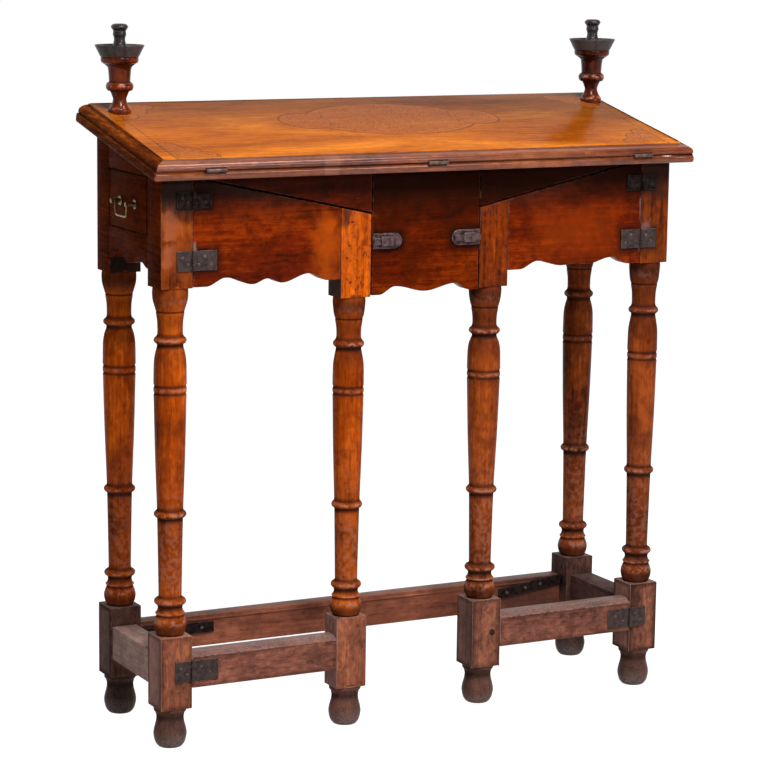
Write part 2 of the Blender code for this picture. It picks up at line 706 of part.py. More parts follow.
def build_front_fillers():
    """Centre panel between the gates and the wedges above them."""
    edge = STILE_EDGE - SWING_GAP
    face, back = LEG_FRONT, FRONT_RAIL_FACE - GAP
    base, lobe = CENTRE_PANEL_BASE, CENTRE_PANEL_BASE + CENTRE_CREST - CENTRE_LOBE_DROP
    crest = base + CENTRE_CREST
    outline = wave_edge([
        (-edge, base), (-CENTRE_FLAT_OUT, base), (-CENTRE_CREST_OUT, crest), (0, lobe),
        (CENTRE_CREST_OUT, crest), (CENTRE_FLAT_OUT, base), (edge, base),
    ])
    shape = under_board_prism(outline + [(edge, TALL), (-edge, TALL)], "Y", face, back)
    add_rail("centre_panel", shape, "walnut_case", (0, face, base), [])

    for name, gate in GATES.items():
        side, floor_at_pin = gate.side, GATE_TOP_AT_PIN - gate.top_drop + WEDGE_GAP
        toe = max(GAP, (WEDGE_TOE + floor_at_pin - under_board_height(face)) / TAN_GATE)
        thin, thick = side * (LEG_INNER_X - toe), side * STILE_EDGE
        shape = box((min(thin, thick), face, GATE_BLOCK_BASE), (max(thin, thick), back, TALL))
        trim(shape, UNDER_BOARD, BOARD_NORMAL)
        trim(shape, Vector((side * LEG_INNER_X, 0, floor_at_pin)), Vector((side * TAN_GATE, 0, -1)))
        add_rail(f"{name}_wedge", shape, "walnut_case", (thick, face, HINGE_HEIGHT), [])


def knuckle_outline(radius, near, far, reach):
    """Round knuckle with the tongue that joins it to its plate."""
    start, end = math.asin(far / radius), 2 * math.pi + math.asin(near / radius)
    turns = [start + (end - start) * k / ROUND_SIDES for k in range(ROUND_SIDES + 1)]
    return [(reach, near), (reach, far)] + [(radius * math.cos(t), radius * math.sin(t)) for t in turns]


def hinge_half(name, parent, place, axes, span, sizes, fixed):
    """One half of a hinge: a plate and its knuckles, with the pin on the fixed half.

    The half is drawn with its plate along X, the wood behind the plate towards +Y and
    the pin along Z; axes gives the directions that these three take.
    """
    radius, pin, near, far, reach = sizes
    low, high = span
    third = (high - low) / 3
    clear = radius + GAP
    parts = [(low + third + HALF_GAP, high - third - HALF_GAP)]
    if fixed:
        parts = [(low, low + third - HALF_GAP), (high - third + HALF_GAP, high)]
    frame = Matrix(axes).transposed().to_4x4()
    outline = knuckle_outline(radius, near + TONGUE_SETBACK, far - TONGUE_SETBACK, clear + radius / 2)

    def placed(bm):
        bmesh.ops.transform(bm, matrix=frame, verts=bm.verts)
        return bm

    half = add_piece(name, placed(box((clear, near, low), (reach, far, high))), "wrought_iron", place, parent)
    add_boolean(half, placed(merged(*[prism(outline, "Z", *part) for part in parts])), "UNION")
    if fixed:
        rod = prism(round_outline(pin), "Z", low + third / 2, high - third / 2)
        add_boolean(half, placed(rod), "UNION")
    else:
        bore = prism(round_outline(pin + GAP), "Z", parts[0][0] - GAP, parts[0][1] + GAP)
        add_boolean(half, placed(bore), "DIFFERENCE")


def moulded_loops():
    """Inset and height of the leaf's moulded edge, from its underside to its field."""
    low, high = HALF_GAP, HALF_GAP + LEAF_THICKNESS
    spring = (0.0, low + MOULDING_LIP)
    crown = (MOULDING_WIDTH, high - QUIRK_DEPTH)
    return [(0.0, low), spring] + quarter(spring, crown, MOULDING_STEPS) + [(MOULDING_WIDTH, high)]


def moulded_leaf():
    """Leaf with a moulding on its front and ends and a square back edge."""
    half = BOARD_HALF - LEAF_SIDE_SETBACK
    near, far = EDGE_TO_PIN, EDGE_TO_PIN + BOARD_LENGTH
    bm = bmesh.new()
    loops = []
    for inset, height in moulded_loops():
        corners = (
            (-half + inset, near + inset), (half - inset, near + inset), (half - inset, far), (-half + inset, far))
        loops.append([bm.verts.new((x, y, height)) for x, y in corners])
    for lower, upper in zip(loops, loops[1:]):
        for k in range(4):
            bm.faces.new((lower[k - 1], lower[k], upper[k], upper[k - 1]))
    bm.faces.new(loops[0])
    bm.faces.new(loops[-1])
    return bm


def hinge_pockets(side):
    """Recesses for the leaf hinges in the board (side -1) or the leaf (side 1)."""
    clear = LEAF_KNUCKLE_RADIUS + 2 * GAP
    floor = side * (HALF_GAP + LEAF_HINGE_PLATE + GAP)
    deep, out = side * (clear + GAP), -side * LEAF_THICKNESS / 2
    far = LEAF_HINGE_LENGTH + GAP
    outline = [
        (-EDGE_TO_PIN, out), (far, out), (far, floor), (clear, floor), (clear, deep), (-EDGE_TO_PIN, deep)]
    half = LEAF_HINGE_WIDTH / 2 + GAP
    centres = (-LEAF_HINGE_SPREAD, 0.0, LEAF_HINGE_SPREAD)
    return merged(*[prism(outline, "X", centre - half, centre + half) for centre in centres])


def build_top():
    """Fixed sloping board, folding leaf and the hinges between them."""
    slope = axis_empty("slope_frame", HINGE_POINT, turn_x=SLOPE)
    fold = axis_empty("leaf_axis", HINGE_POINT, turn_x=SLOPE)
    half = BOARD_HALF
    board = box(
        (-half, EDGE_TO_PIN, -HALF_GAP - BOARD_THICKNESS), (half, EDGE_TO_PIN + BOARD_LENGTH, -HALF_GAP))
    edges = [
        edge for edge in board.edges
        if abs(edge.verts[0].co.z - edge.verts[1].co.z) < GAP
        and min(vert.co.y for vert in edge.verts) < EDGE_TO_PIN + GAP
    ]
    bmesh.ops.bevel(
        board, geom=edges, offset=BOARD_EDGE_ROUND, segments=2, profile=0.5, affect="EDGES", material=-1)
    piece = add_piece("top_board", board, "walnut_top", parent=slope)
    add_boolean(piece, hinge_pockets(-1), "DIFFERENCE")

    leaf = add_piece("top_leaf", moulded_leaf(), "walnut_top", parent=fold)
    add_boolean(leaf, hinge_pockets(1), "DIFFERENCE")
    for x in (CANDLE_LEFT_X, CANDLE_RIGHT_X):
        add_boolean(leaf, candle_socket(x), "DIFFERENCE")

    for name, x in (("left", -LEAF_HINGE_SPREAD), ("centre", 0.0), ("right", LEAF_HINGE_SPREAD)):
        leaf_hinge(name, x, slope, fold)


def leaf_hinge(name, x, slope, fold):
    """One butt hinge let into the facing sides of board and leaf."""
    sizes = (LEAF_KNUCKLE_RADIUS, LEAF_PIN_RADIUS, HALF_GAP, HALF_GAP + LEAF_HINGE_PLATE, LEAF_HINGE_LENGTH)
    span = (x - LEAF_HINGE_WIDTH / 2, x + LEAF_HINGE_WIDTH / 2)
    origin, along, across = (0, 0, 0), (0, 1, 0), (1, 0, 0)
    hinge_half(f"leaf_hinge_{name}_fixed", slope, origin, (along, (0, 0, -1), across), span, sizes, True)
    hinge_half(f"leaf_hinge_{name}_moving", fold, origin, (along, (0, 0, 1), across), span, sizes, False)


def gate_wave(cusp, rise):
    """Scalloped lower edge of a gate apron, from its pin to its leg."""
    near, far = SWING_GAP / 3, GATE_LENGTH - LEG_BLOCK - GAP
    middle = (near + far) / 2
    base, crest = GATE_APRON_BASE, GATE_APRON_BASE + GATE_CREST
    flat_out = middle - near - GATE_LAND
    crest_out, lobe_out = flat_out * GATE_CREST_SHARE, flat_out * GATE_LOBE_SHARE
    return wave_edge([
        (near, base), (middle - flat_out, base), (middle - crest_out, crest),
        (middle - lobe_out, base + rise), (middle, base + rise + cusp), (middle + lobe_out, base + rise),
        (middle + crest_out, crest), (middle + flat_out, base), (far, base),
    ])


def build_gate(name):
    """Swinging gate: apron, turned leg, stretcher and its hinges."""
    gate = GATES[name]
    side, inward = gate.side, -gate.side
    pin = Vector((side * LEG_INNER_X, GATE_PIN_Y, 0))
    axis = axis_empty(f"gate_{name}_axis", pin)
    face, back = GATE_PIN_OFFSET, GATE_PIN_OFFSET + GATE_THICKNESS
    leg_near = GATE_LENGTH - LEG_BLOCK
    top_at_pin = GATE_TOP_AT_PIN - gate.top_drop
    top_point = Vector((0, face, top_at_pin))
    top_normal = Vector((inward * TAN_GATE, TAN_GATE, 1))

    def mirrored(outline):
        return [(inward * s, z) for s, z in outline]

    apron = prism(
        mirrored(gate_wave(gate.cusp, gate.lobe_rise) + [(leg_near - GAP, TALL), (SWING_GAP / 3, TALL)]), "Y", face, back)
    trim(apron, top_point, top_normal)
    apron_end = top_at_pin - GATE_LENGTH * TAN_GATE
    apron_tenon = Tenon(
        "X", inward * leg_near, inward, (face + back) / 2,
        GATE_APRON_BASE + TENON_SHOULDER, apron_end - TENON_SHOULDER)
    piece = add_piece(f"gate_{name}_apron", apron, "walnut_case", parent=axis)
    add_boolean(piece, apron_tenon.shape(), "UNION")

    stretcher_back = face + GATE_STRETCHER_WIDTH
    section = [
        (face, gate.stretcher_base), (stretcher_back, gate.stretcher_base), (stretcher_back, STRETCHER_TOP),
        (face + GATE_CHAMFER_WIDTH, STRETCHER_TOP), (face, STRETCHER_TOP - GATE_CHAMFER_DROP)]
    shape = prism(section, "X", *sorted((inward * SWING_GAP / 3, inward * (leg_near - GAP))))
    stretcher_tenon = Tenon(
        "X", inward * leg_near, inward, (face + stretcher_back) / 2,
        gate.stretcher_base + TENON_SHOULDER / 2, STRETCHER_TOP - TENON_SHOULDER / 2)
    piece = add_piece(f"gate_{name}_stretcher", shape, "walnut_legs", parent=axis)
    add_boolean(piece, stretcher_tenon.shape(), "UNION")

    build_gate_leg(name, axis, (top_point, top_normal), (apron_tenon, stretcher_tenon))

    near, far = face - GAP - GATE_PLATE, face - GAP
    behind, up = (0, 1, 0), (0, 0, 1)
    for label, height, tall, fixed_reach, moving_reach in GATE_HINGES:
        span = (height - tall / 2, height + tall / 2)
        sizes = (GATE_KNUCKLE_RADIUS, GATE_PIN_RADIUS, near, far)
        hinge_half(f"gate_hinge_{name}_{label}_fixed", None, pin, ((side, 0, 0), behind, up), span,
                   (*sizes, fixed_reach), True)
        hinge_half(f"gate_hinge_{name}_{label}_moving", axis, (0, 0, 0), ((inward, 0, 0), behind, up), span,
                   (*sizes, moving_reach), False)


def build_gate_leg(name, axis, top_plane, tenons):
    """Turned gate leg; its block is notched behind and bevelled where it closes."""
    gate = GATES[name]
    inward, face, depth = -gate.side, GATE_PIN_OFFSET, gate.leg_depth
    half, behind = LEG_BLOCK / 2, depth / 2
    centre = Vector((inward * (GATE_LENGTH - half), face + behind, 0))
    turned = lathe(leg_profile(GATE_BLOCK_BASE, GATE_TURNING_SHARE, gate.foot_rise))
    leg = add_piece(f"gate_{name}_leg", turned, "honey_wood", centre, axis, smooth=True)
    shelf = FRONT_RAIL_BASE - SWING_GAP
    thin = -behind + GATE_THICKNESS
    side_view = [
        (-behind, GATE_BLOCK_BASE), (behind, GATE_BLOCK_BASE), (behind, shelf),
        (thin, shelf), (thin, TALL), (-behind, TALL)]
    block = prism(side_view, "X", -half, half)
    trim(block, top_plane[0] - centre, top_plane[1])
    reach = math.hypot(GATE_LENGTH, face)
    closing = math.sqrt(reach ** 2 - (face + depth) ** 2) - GATE_LENGTH
    trim(block, Vector((inward * half, -behind, 0)), Vector((inward * depth, -closing, 0)))
    add_boolean(leg, block, "UNION")
    foot_block = prism(block_outline(depth), "Z", BOTTOM_BLOCK_BASE + gate.foot_rise, BOTTOM_BLOCK_TOP)
    add_boolean(leg, foot_block, "UNION")
    shapes = [moved(tenon.shape(GAP), -centre) for tenon in tenons]
    add_boolean(leg, merged(*shapes), "DIFFERENCE")


def build_brackets():
    """Iron straps that tie the back stretcher to the back legs."""
    face = BACK_STRETCHER_FACE - GAP
    top = BACK_STRETCHER_TOP - BRACKET_TOP_DROP
    for side, name in ((-1, "left"), (1, "right")):
        root = side * (LEG_INNER_X - GAP)
        inner = root - side * BRACKET_THICKNESS
        far = root - side * BRACKET_REACH
        outline = [
            (root, face), (far, face), (far, face - BRACKET_THICKNESS), (inner, face - BRACKET_THICKNESS),
            (inner, face - BRACKET_SHORT_REACH), (root, face - BRACKET_SHORT_REACH)]
        shape = prism(outline, "Z", top - BRACKET_HEIGHT, top)
        add_rail(f"corner_bracket_{name}", shape, "wrought_iron", (root, face, top), [])


def build_bolts():
    """Slide bolts on the centre panel; they rest drawn back, clear of the gates."""
    panel_edge = STILE_EDGE - SWING_GAP - GAP
    face = LEG_FRONT - GAP
    plate_front = face - BOLT_PLATE_THICKNESS
    bar_back = plate_front - GAP
    bar_front = bar_back - BOLT_THICKNESS
    half_bar, half_plate = BOLT_WIDTH / 2, BOLT_PLATE_WIDTH / 2
    round_centre = BOLT_PLATE_LENGTH - half_plate
    for side, name in ((-1, "left"), (1, "right")):
        axis = axis_empty(f"bolt_{name}_axis", (side * panel_edge, bar_back, BOLT_HEIGHT))
        outline = [(0.0, -half_plate), (round_centre, -half_plate)]
        for k in range(1, 6):
            turn = math.pi * (k / 6 - 0.5)
            outline.append((round_centre + half_plate * math.cos(turn), half_plate * math.sin(turn)))
        outline += [(round_centre, half_plate), (0.0, half_plate)]
        outline = [(-side * along, up) for along, up in outline]
        depth = plate_front - bar_back
        plate = prism(outline, "Y", depth, depth + BOLT_PLATE_THICKNESS)
        piece = add_piece(f"bolt_plate_{name}", plate, "wrought_iron", axis.location)

        cap = bar_front - bar_back - GAP - KEEPER_WALL
        tall = half_bar + GAP + KEEPER_WALL
        along = sorted((-side * KEEPER_START, -side * (KEEPER_START + KEEPER_LENGTH)))
        keeper = box((along[0], cap, -tall), (along[1], depth + GAP, tall))
        add_boolean(piece, keeper, "UNION")
        slot = box(
            (along[0] - KEEPER_LENGTH, cap + KEEPER_WALL, -half_bar - GAP),
            (along[1] + KEEPER_LENGTH, depth, half_bar + GAP))
        add_boolean(piece, slot, "DIFFERENCE")

        along = sorted((0.0, -side * BOLT_LENGTH))
        bar = box((along[0], -BOLT_THICKNESS, -half_bar), (along[1], 0.0, half_bar))
        ends = [edge for edge in bar.edges if abs(edge.verts[0].co.y - edge.verts[1].co.y) > GAP]
        bmesh.ops.bevel(
            bar, geom=ends, offset=KEEPER_WALL / 2, segments=1, profile=0.5, affect="EDGES", material=-1)
        add_piece(f"bolt_{name}", bar, "wrought_iron", parent=axis)


def build_drawer():
    """Drawer in the left end, its bearer, and its brass handle."""
    left = -HALF_WIDTH
    near, far = LEG_FRONT + LEG_BLOCK + RUN_GAP, LEG_BACK - LEG_BLOCK - RUN_GAP
    middle = (near + far) / 2
    slide = axis_empty("drawer_slide", (left, middle, DRAWER_BASE))
    half = (far - near) / 2
    thick, bottom = DRAWER_FRONT_THICKNESS, DRAWER_BOTTOM_THICKNESS
    length, wall = DRAWER_LENGTH, DRAWER_SIDE_THICKNESS
    rise = DRAWER_HEIGHT - DRAWER_SIDE_DROP
    behind, stand = thick + GAP, bottom + GAP
    add_piece("drawer_front", box((0, -half, 0), (thick, half, DRAWER_HEIGHT)), "walnut_case", parent=slide)
    add_piece("drawer_bottom", box((behind, -half, 0), (length, half, bottom)), "oak_lining", parent=slide)
    for name, edge in (("drawer_side_front", -half), ("drawer_side_back", half - wall)):
        shape = box((behind, edge, stand), (length, edge + wall, rise))
        add_piece(name, shape, "oak_lining", parent=slide)
    shape = box((length - wall, -half + wall + GAP, stand), (length, half - wall - GAP, rise))
    add_piece("drawer_back", shape, "oak_lining", parent=slide)

    start = -LEG_INNER_X + GAP
    bed_top = DRAWER_BASE - GAP
    bed = box(
        (start, FRONT_RAIL_BACK + GAP, bed_top - BEARER_THICKNESS),
        (start + BEARER_LENGTH, BACK_RAIL_FACE - GAP, bed_top))
    bearer = add_rail("drawer_bearer", bed, "oak_lining", (start, middle, bed_top), [])
    guide_near = far + GAP
    guide = box(
        (start, guide_near, bed_top - BEARER_THICKNESS / 2),
        (start + BEARER_LENGTH, guide_near + GUIDE_WIDTH, bed_top + GUIDE_HEIGHT))
    add_boolean(bearer, moved(guide, -Vector(bearer.location)), "UNION")
    build_handle(slide)


def build_handle(slide):
    """Two posts on the drawer front and the bail that hangs between them."""
    height = HANDLE_RISE
    for name, y in (("front", -HANDLE_SPREAD / 2), ("back", HANDLE_SPREAD / 2)):
        rose = prism(round_outline(ROSE_RADIUS), "X", -GAP - ROSE_THICKNESS, -GAP)
        post = add_piece(f"handle_post_{name}", rose, "brass", (0, y, height), slide)
        add_boolean(post, prism(round_outline(POST_RADIUS), "X", -POST_REACH, -GAP - ROSE_THICKNESS / 2), "UNION")
        eye = round_outline(BAIL_RADIUS + GAP, (-BAIL_PIN_REACH, 0.0))
        add_boolean(post, prism(eye, "Y", -2 * POST_RADIUS, 2 * POST_RADIUS), "DIFFERENCE")

    hang = axis_empty("bail_axis", (-BAIL_PIN_REACH, 0, height), slide)
    half_top = HANDLE_SPREAD / 2 - POST_RADIUS - BAIL_RADIUS - GAP
    corners = [
        Vector((0, HANDLE_SPREAD / 2 + POST_RADIUS, 0)), Vector((0, half_top, 0)),
        Vector((0, BAIL_FOOT_WIDTH / 2, -BAIL_DROP))]
    corners += [Vector((0, -corner.y, corner.z)) for corner in reversed(corners)]
    bends = (BAIL_RADIUS * 1.5, BAIL_BEND, BAIL_BEND, BAIL_RADIUS * 1.5)
    path = [corners[0]]
    for before, corner, after, bend in zip(corners, corners[1:], corners[2:], bends):
        start = corner + (before - corner).normalized() * bend
        end = corner + (after - corner).normalized() * bend
        for k in range(BAIL_BEND_STEPS + 1):
            share = k / BAIL_BEND_STEPS
            path.append(start.lerp(corner, share).lerp(corner.lerp(end, share), share))
    path.append(corners[-1])
    curve = bpy.data.curves.new("drawer_bail", "CURVE")
    curve.dimensions = "3D"
    curve.bevel_depth = BAIL_RADIUS
    curve.bevel_resolution = 1
    curve.use_fill_caps = True
    spline = curve.splines.new("POLY")
    spline.points.add(len(path) - 1)
    for point, place in zip(spline.points, path):
        point.co = (*place, 1.0)
    curve.materials.append(material("brass"))
    add_object("drawer_bail", curve, parent=hang)


def candle_place(x):
    """Point on the leaf's upper face where a candle holder stands."""
    along = EDGE_TO_PIN + BOARD_LENGTH - CANDLE_TO_BACK_EDGE
    up = HALF_GAP + LEAF_THICKNESS
    return HINGE_POINT + Vector((x, along * COS_SLOPE - up * SIN_SLOPE, along * SIN_SLOPE + up * COS_SLOPE))


def candle_socket(x):
    """Upright blind hole for a candle holder's peg, in the leaf's frame."""
    hole = prism(round_outline(CANDLE_PEG_RADIUS + GAP), "Z", -CANDLE_PEG_LENGTH - GAP, LEAF_THICKNESS)
    to_leaf = Matrix.Rotation(-SLOPE, 4, "X") @ Matrix.Translation(candle_place(x) - HINGE_POINT)
    bmesh.ops.transform(hole, matrix=to_leaf, verts=hole.verts)
    return hole


def stem_profile():
    """Turned outline of a candle stem, from its collar to below its foot."""
    body = (STEM_BODY_RADIUS, STEM_BODY_AT)
    neck = (STEM_NECK_RADIUS, STEM_NECK_AT)
    collar = (STEM_COLLAR_RADIUS, STEM_COLLAR_AT)
    flare = (STEM_FLARE_RADIUS, STEM_FLARE_AT)
    points = [(0, STEM_TOP), (STEM_COLLAR_RADIUS, STEM_TOP), collar]
    points += quarter(collar, flare, hollow=True)
    points += [body]
    points += quarter(body, (STEM_BEAD_RADIUS, STEM_BEAD_AT), hollow=True)
    points += [
        (STEM_RING_RADIUS, STEM_RING_AT + STEM_RING_HALF), (STEM_RING_RADIUS, STEM_RING_AT - STEM_RING_HALF), neck]
    points += quarter(neck, (STEM_FOOT_RADIUS, STEM_NECK_AT / 3))
    points += [(STEM_FOOT_RADIUS, -STEM_FOOT_RADIUS), (0, -STEM_FOOT_RADIUS)]
    return points


def pan_profile():
    """Turned outline of a drip pan with its nozzle, heights from the pan's foot."""
    floor = (NOZZLE_FOOT_RADIUS, PAN_FLOOR)
    waist = (NOZZLE_WAIST_RADIUS, NOZZLE_WAIST_AT)
    points = [
        (0, NOZZLE_TOP - NOZZLE_BORE_DEPTH), (NOZZLE_BORE_RADIUS, NOZZLE_TOP - NOZZLE_BORE_DEPTH),
        (NOZZLE_BORE_RADIUS, NOZZLE_TOP), (NOZZLE_LIP_RADIUS - NOZZLE_LIP_ROUND, NOZZLE_TOP),
        (NOZZLE_LIP_RADIUS, NOZZLE_LIP_AT),
        (NOZZLE_THROAT_RADIUS, (NOZZLE_LIP_AT + NOZZLE_RING_AT) / 2),
        (NOZZLE_RING_RADIUS, NOZZLE_RING_AT), waist]
    points += quarter(waist, floor, 2)
    points += [
        (PAN_FOOT_RADIUS - PAN_RIM_WALL, PAN_FLOOR), (PAN_RIM_RADIUS - PAN_RIM_WALL, PAN_HEIGHT),
        (PAN_RIM_RADIUS, PAN_HEIGHT), (PAN_FOOT_RADIUS, 0), (0, 0)]
    return points


def build_candle(name, x):
    """Candle holder: turned stem pegged into the leaf, and its drip pan and nozzle."""
    place = candle_place(x)
    axis = axis_empty(f"candle_{name}_axis", place)
    stem = lathe(stem_profile())
    trim(stem, BOARD_NORMAL * GAP, -BOARD_NORMAL)
    piece = add_piece(f"candle_stem_{name}", stem, "walnut_legs", parent=axis, smooth=True)
    peg = prism(round_outline(CANDLE_PEG_RADIUS), "Z", -CANDLE_PEG_LENGTH, STEM_NECK_AT / 2)
    add_boolean(piece, peg, "UNION")
    add_piece(
        f"candle_pan_{name}", lathe(pan_profile()), "ebonised", (0, 0, STEM_TOP + GAP), axis, smooth=True)


def main():
    """Clear the scene and build the table."""
    for old in list(bpy.data.objects):
        bpy.data.objects.remove(old)
    build_frame()
    build_front_fillers()
    build_top()
    build_gate("left")
    build_gate("right")
    build_brackets()
    build_bolts()
    build_drawer()
    build_candle("left", CANDLE_LEFT_X)
    build_candle("right", CANDLE_RIGHT_X)


main()
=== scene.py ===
"""Looks of a narrow folding writing table with gate legs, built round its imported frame."""

import json
import logging
import math
from collections.abc import Iterable, Sequence
from dataclasses import dataclass, replace
from enum import Enum, IntEnum

import bmesh
import bpy
from mathutils import Matrix, Vector


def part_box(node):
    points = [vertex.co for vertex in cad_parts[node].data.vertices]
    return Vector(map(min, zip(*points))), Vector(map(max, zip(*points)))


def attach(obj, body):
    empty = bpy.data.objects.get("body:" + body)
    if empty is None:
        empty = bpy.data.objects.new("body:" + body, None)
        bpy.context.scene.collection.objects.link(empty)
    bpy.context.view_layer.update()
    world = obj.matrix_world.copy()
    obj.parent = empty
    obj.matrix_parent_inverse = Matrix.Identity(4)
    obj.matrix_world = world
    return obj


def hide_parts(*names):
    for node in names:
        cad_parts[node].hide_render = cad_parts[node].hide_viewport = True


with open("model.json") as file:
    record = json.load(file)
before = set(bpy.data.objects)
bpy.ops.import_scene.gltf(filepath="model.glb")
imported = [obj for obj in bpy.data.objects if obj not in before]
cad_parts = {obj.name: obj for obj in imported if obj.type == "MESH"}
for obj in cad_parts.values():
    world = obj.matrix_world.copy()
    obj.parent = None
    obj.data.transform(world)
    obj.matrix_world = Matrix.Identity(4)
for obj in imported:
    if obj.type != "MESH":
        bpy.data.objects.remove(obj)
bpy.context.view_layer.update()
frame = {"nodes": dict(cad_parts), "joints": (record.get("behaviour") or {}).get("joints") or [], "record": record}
LOG = logging.getLogger("writing_table")

Colour = tuple[float, float, float]
Socket = bpy.types.NodeSocket
Value = float | Socket
Point = tuple[float, float]
Outline = list[Point]
Ring = tuple[float, float, float]

MERGE = 0.00001
TURNED_STEPS = 48
SMOOTH_ANGLE = math.radians(38)
FLAT_ANGLE = math.radians(0.6)
QUARTER_TURN = math.pi / 2
EDGE_SEGMENTS = 3
PATTERN_SHIFT = (1.0, 1.7, 2.3)
NOISE_MIDDLE = 0.5
UPRIGHT = 0.5
SLOPE = math.radians(11.6)
UP_SLOPE = Vector((0.0, -math.sin(SLOPE), math.cos(SLOPE)))


class Axis(Enum):
    """Axis of the table that a grain runs along or a piece is turned about."""

    X = 0
    Y = 1
    Z = 2


class Layer(Enum):
    """Vertex attributes that the finishes read."""

    # pale rubbed edges and nail heads, and painted highlights on the crowns of turned beads and balls
    WEAR = "wear"
    # grime and painted shade in hollows, joints, gaps and quirks, and darker rims of blocks and stretchers
    GROOVE = "groove"


class Side(Enum):
    """Ends of the table, as they stand in the names of nodes."""

    LEFT = "left"
    RIGHT = "right"


class LegFace(IntEnum):
    """Material numbers of a leg."""

    SHAFT = 0
    TOP = 1
    TOP_SIDE = 2
    LOW = 3
    LOW_SIDE = 4
    FOOT = 5


class TopFace(IntEnum):
    """Material numbers of the board and the leaf."""

    FIELD = 0
    MOULDING = 1
    END = 2
    PLAIN = 3


class PanFace(IntEnum):
    """Material numbers of a drip pan with its nozzle."""

    PAN = 0
    NOZZLE = 1


def rgba(colour: Colour) -> tuple[float, float, float, float]:
    """Opaque colour for a colour socket."""
    return (*colour, 1.0)


class NodeGraph:
    """Shader nodes of a material or a world, added one line at a time."""

    def __init__(self, owner: bpy.types.Material | bpy.types.World) -> None:
        """Clear the nodes of a material or a world."""
        owner.use_nodes = True
        self.owner = owner
        self.tree = owner.node_tree
        self.tree.nodes.clear()
        self.texture = self.add("ShaderNodeTexCoord")

    def add(self, kind: str, **settings: object) -> bpy.types.Node:
        """Add a node and set its options.

        Args:
            kind: Blender's name of the node type.
            settings: options of the node.

        Returns:
            The new node.
        """
        node = self.tree.nodes.new(kind)
        for option, value in settings.items():
            setattr(node, option, value)
        return node

    def feed(self, socket: Socket, value: object) -> None:
        """Link a socket to another, or set its value.

        Args:
            socket: socket to feed.
            value: socket to link from, or a constant.
        """
        if isinstance(value, bpy.types.NodeSocket):
            self.tree.links.new(value, socket)
        else:
            socket.default_value = value

    def math(self, operation: str, *values: Value, clamp: bool = False) -> Socket:
        """Result of one math operation.

        Args:
            operation: name of the operation.
            values: one to three numbers or sockets.
            clamp: whether to keep the result between 0 and 1.

        Returns:
            The socket of the result.
        """
        node = self.add("ShaderNodeMath", operation=operation, use_clamp=clamp)
        for socket, value in zip(node.inputs, values):
            self.feed(socket, value)
        return node.outputs[0]

    def fade(self, value: Value, low: float, high: float) -> Socket:
        """Smooth step of a value from 0 at low to 1 at high.

        Args:
            value: value to look at.
            low: value that gives 0.
            high: value that gives 1.

        Returns:
            The socket of the share.
        """
        node = self.add("ShaderNodeMapRange", interpolation_type="SMOOTHSTEP")
        self.feed(node.inputs["Value"], value)
        node.inputs["From Min"].default_value = low
        node.inputs["From Max"].default_value = high
        return node.outputs[0]

    def inside(self, distance: Value, soft: float) -> Socket:
        """Share that falls from 1 inside an edge to 0 outside it."""
        return self.minus(1.0, self.fade(distance, -soft, soft))

    def times(self, first: Value, second: Value, clamp: bool = False) -> Socket:
        """Product of two values."""
        return self.math("MULTIPLY", first, second, clamp=clamp)

    def minus(self, first: Value, second: Value) -> Socket:
        """Difference of two values."""
        return self.math("SUBTRACT", first, second)

    def mix(
            self, share: Value, first: Colour | Socket, second: Colour | Socket,
            blend: str = "MIX") -> Socket:
        """Mixture of two colours.

        Args:
            share: share of the second colour.
            first: colour at share 0.
            second: colour at share 1.
            blend: way of mixing.

        Returns:
            The socket of the mixed colour.
        """
        node = self.add("ShaderNodeMix", data_type="RGBA", blend_type=blend)
        self.feed(node.inputs["Factor"], share)
        for name, colour in (("A", first), ("B", second)):
            socket = next(s for s in node.inputs if s.name == name and s.type == "RGBA")
            self.feed(socket, rgba(colour) if isinstance(colour, tuple) else colour)
        return next(s for s in node.outputs if s.type == "RGBA")

    def axes(self, name: str = "Object") -> tuple[Socket, Socket, Socket]:
        """X, Y and Z of the object coordinates or of the normal.

        Args:
            name: which coordinates.

        Returns:
            The three sockets.
        """
        node = self.add("ShaderNodeSeparateXYZ")
        self.feed(node.inputs[0], self.texture.outputs[name])
        return tuple(node.outputs)

    def beyond(self, centre: Point, half: Point) -> Socket:
        """Distance in front view outside a box with a centre and half sizes, negative inside.

        Args:
            centre: middle of the box.
            half: its half sizes.

        Returns:
            The socket of the distance.
        """
        x, _, z = self.axes()
        reaches = [
            self.minus(self.math("ABSOLUTE", self.minus(axis, middle)), extent)
            for axis, middle, extent in zip((x, z), centre, half)]
        return self.math("MAXIMUM", *reaches)

    def seen_directly(self, *kinds: str) -> Socket:
        """1 for rays of any of the named kinds, else 0.

        Args:
            kinds: Blender's names of the kinds.

        Returns:
            The socket of the share.
        """
        path = self.add("ShaderNodeLightPath")
        seen: Value = 0.0
        for kind in kinds:
            seen = self.math("MAXIMUM", path.outputs[kind], seen)
        return seen


@dataclass(frozen=True)
class Figure:
    """A noise pattern: waves a metre, finer layers, distortion, stretch along the grain, and shift."""

    scale: float
    detail: float = 2.0
    distortion: float = 0.0
    along: float = 1.0
    shift: float = 0.0


class Figures:
    """Noise patterns that the finishes are made of."""

    cloud = Figure(13.0, 3.0, 0.6, along=0.30)
    streak = Figure(230.0, 4.0, 0.3, along=0.05)
    mottle = Figure(150.0, 4.0, 0.4, along=0.6, shift=1.0)
    pores = Figure(900.0, along=0.05)
    pits = Figure(340.0, 4.0, 1.2, along=0.7)
    blotches = Figure(34.0, 4.0, 0.5, shift=3.0)
    dust = Figure(600.0, 5.0, 0.2, shift=3.0)
    scuffs_and_sheen = Figure(150.0, 3.0, shift=3.0)
    polish = Figure(40.0, 3.0, shift=3.0)
    dents = Figure(130.0, 3.0, shift=3.0)
    fronds = Figure(70.0, 3.0, 1.6)
    stains = Figure(150.0, 4.0, 0.5)
    rubs = Figure(160.0)
    hammering = Figure(240.0)


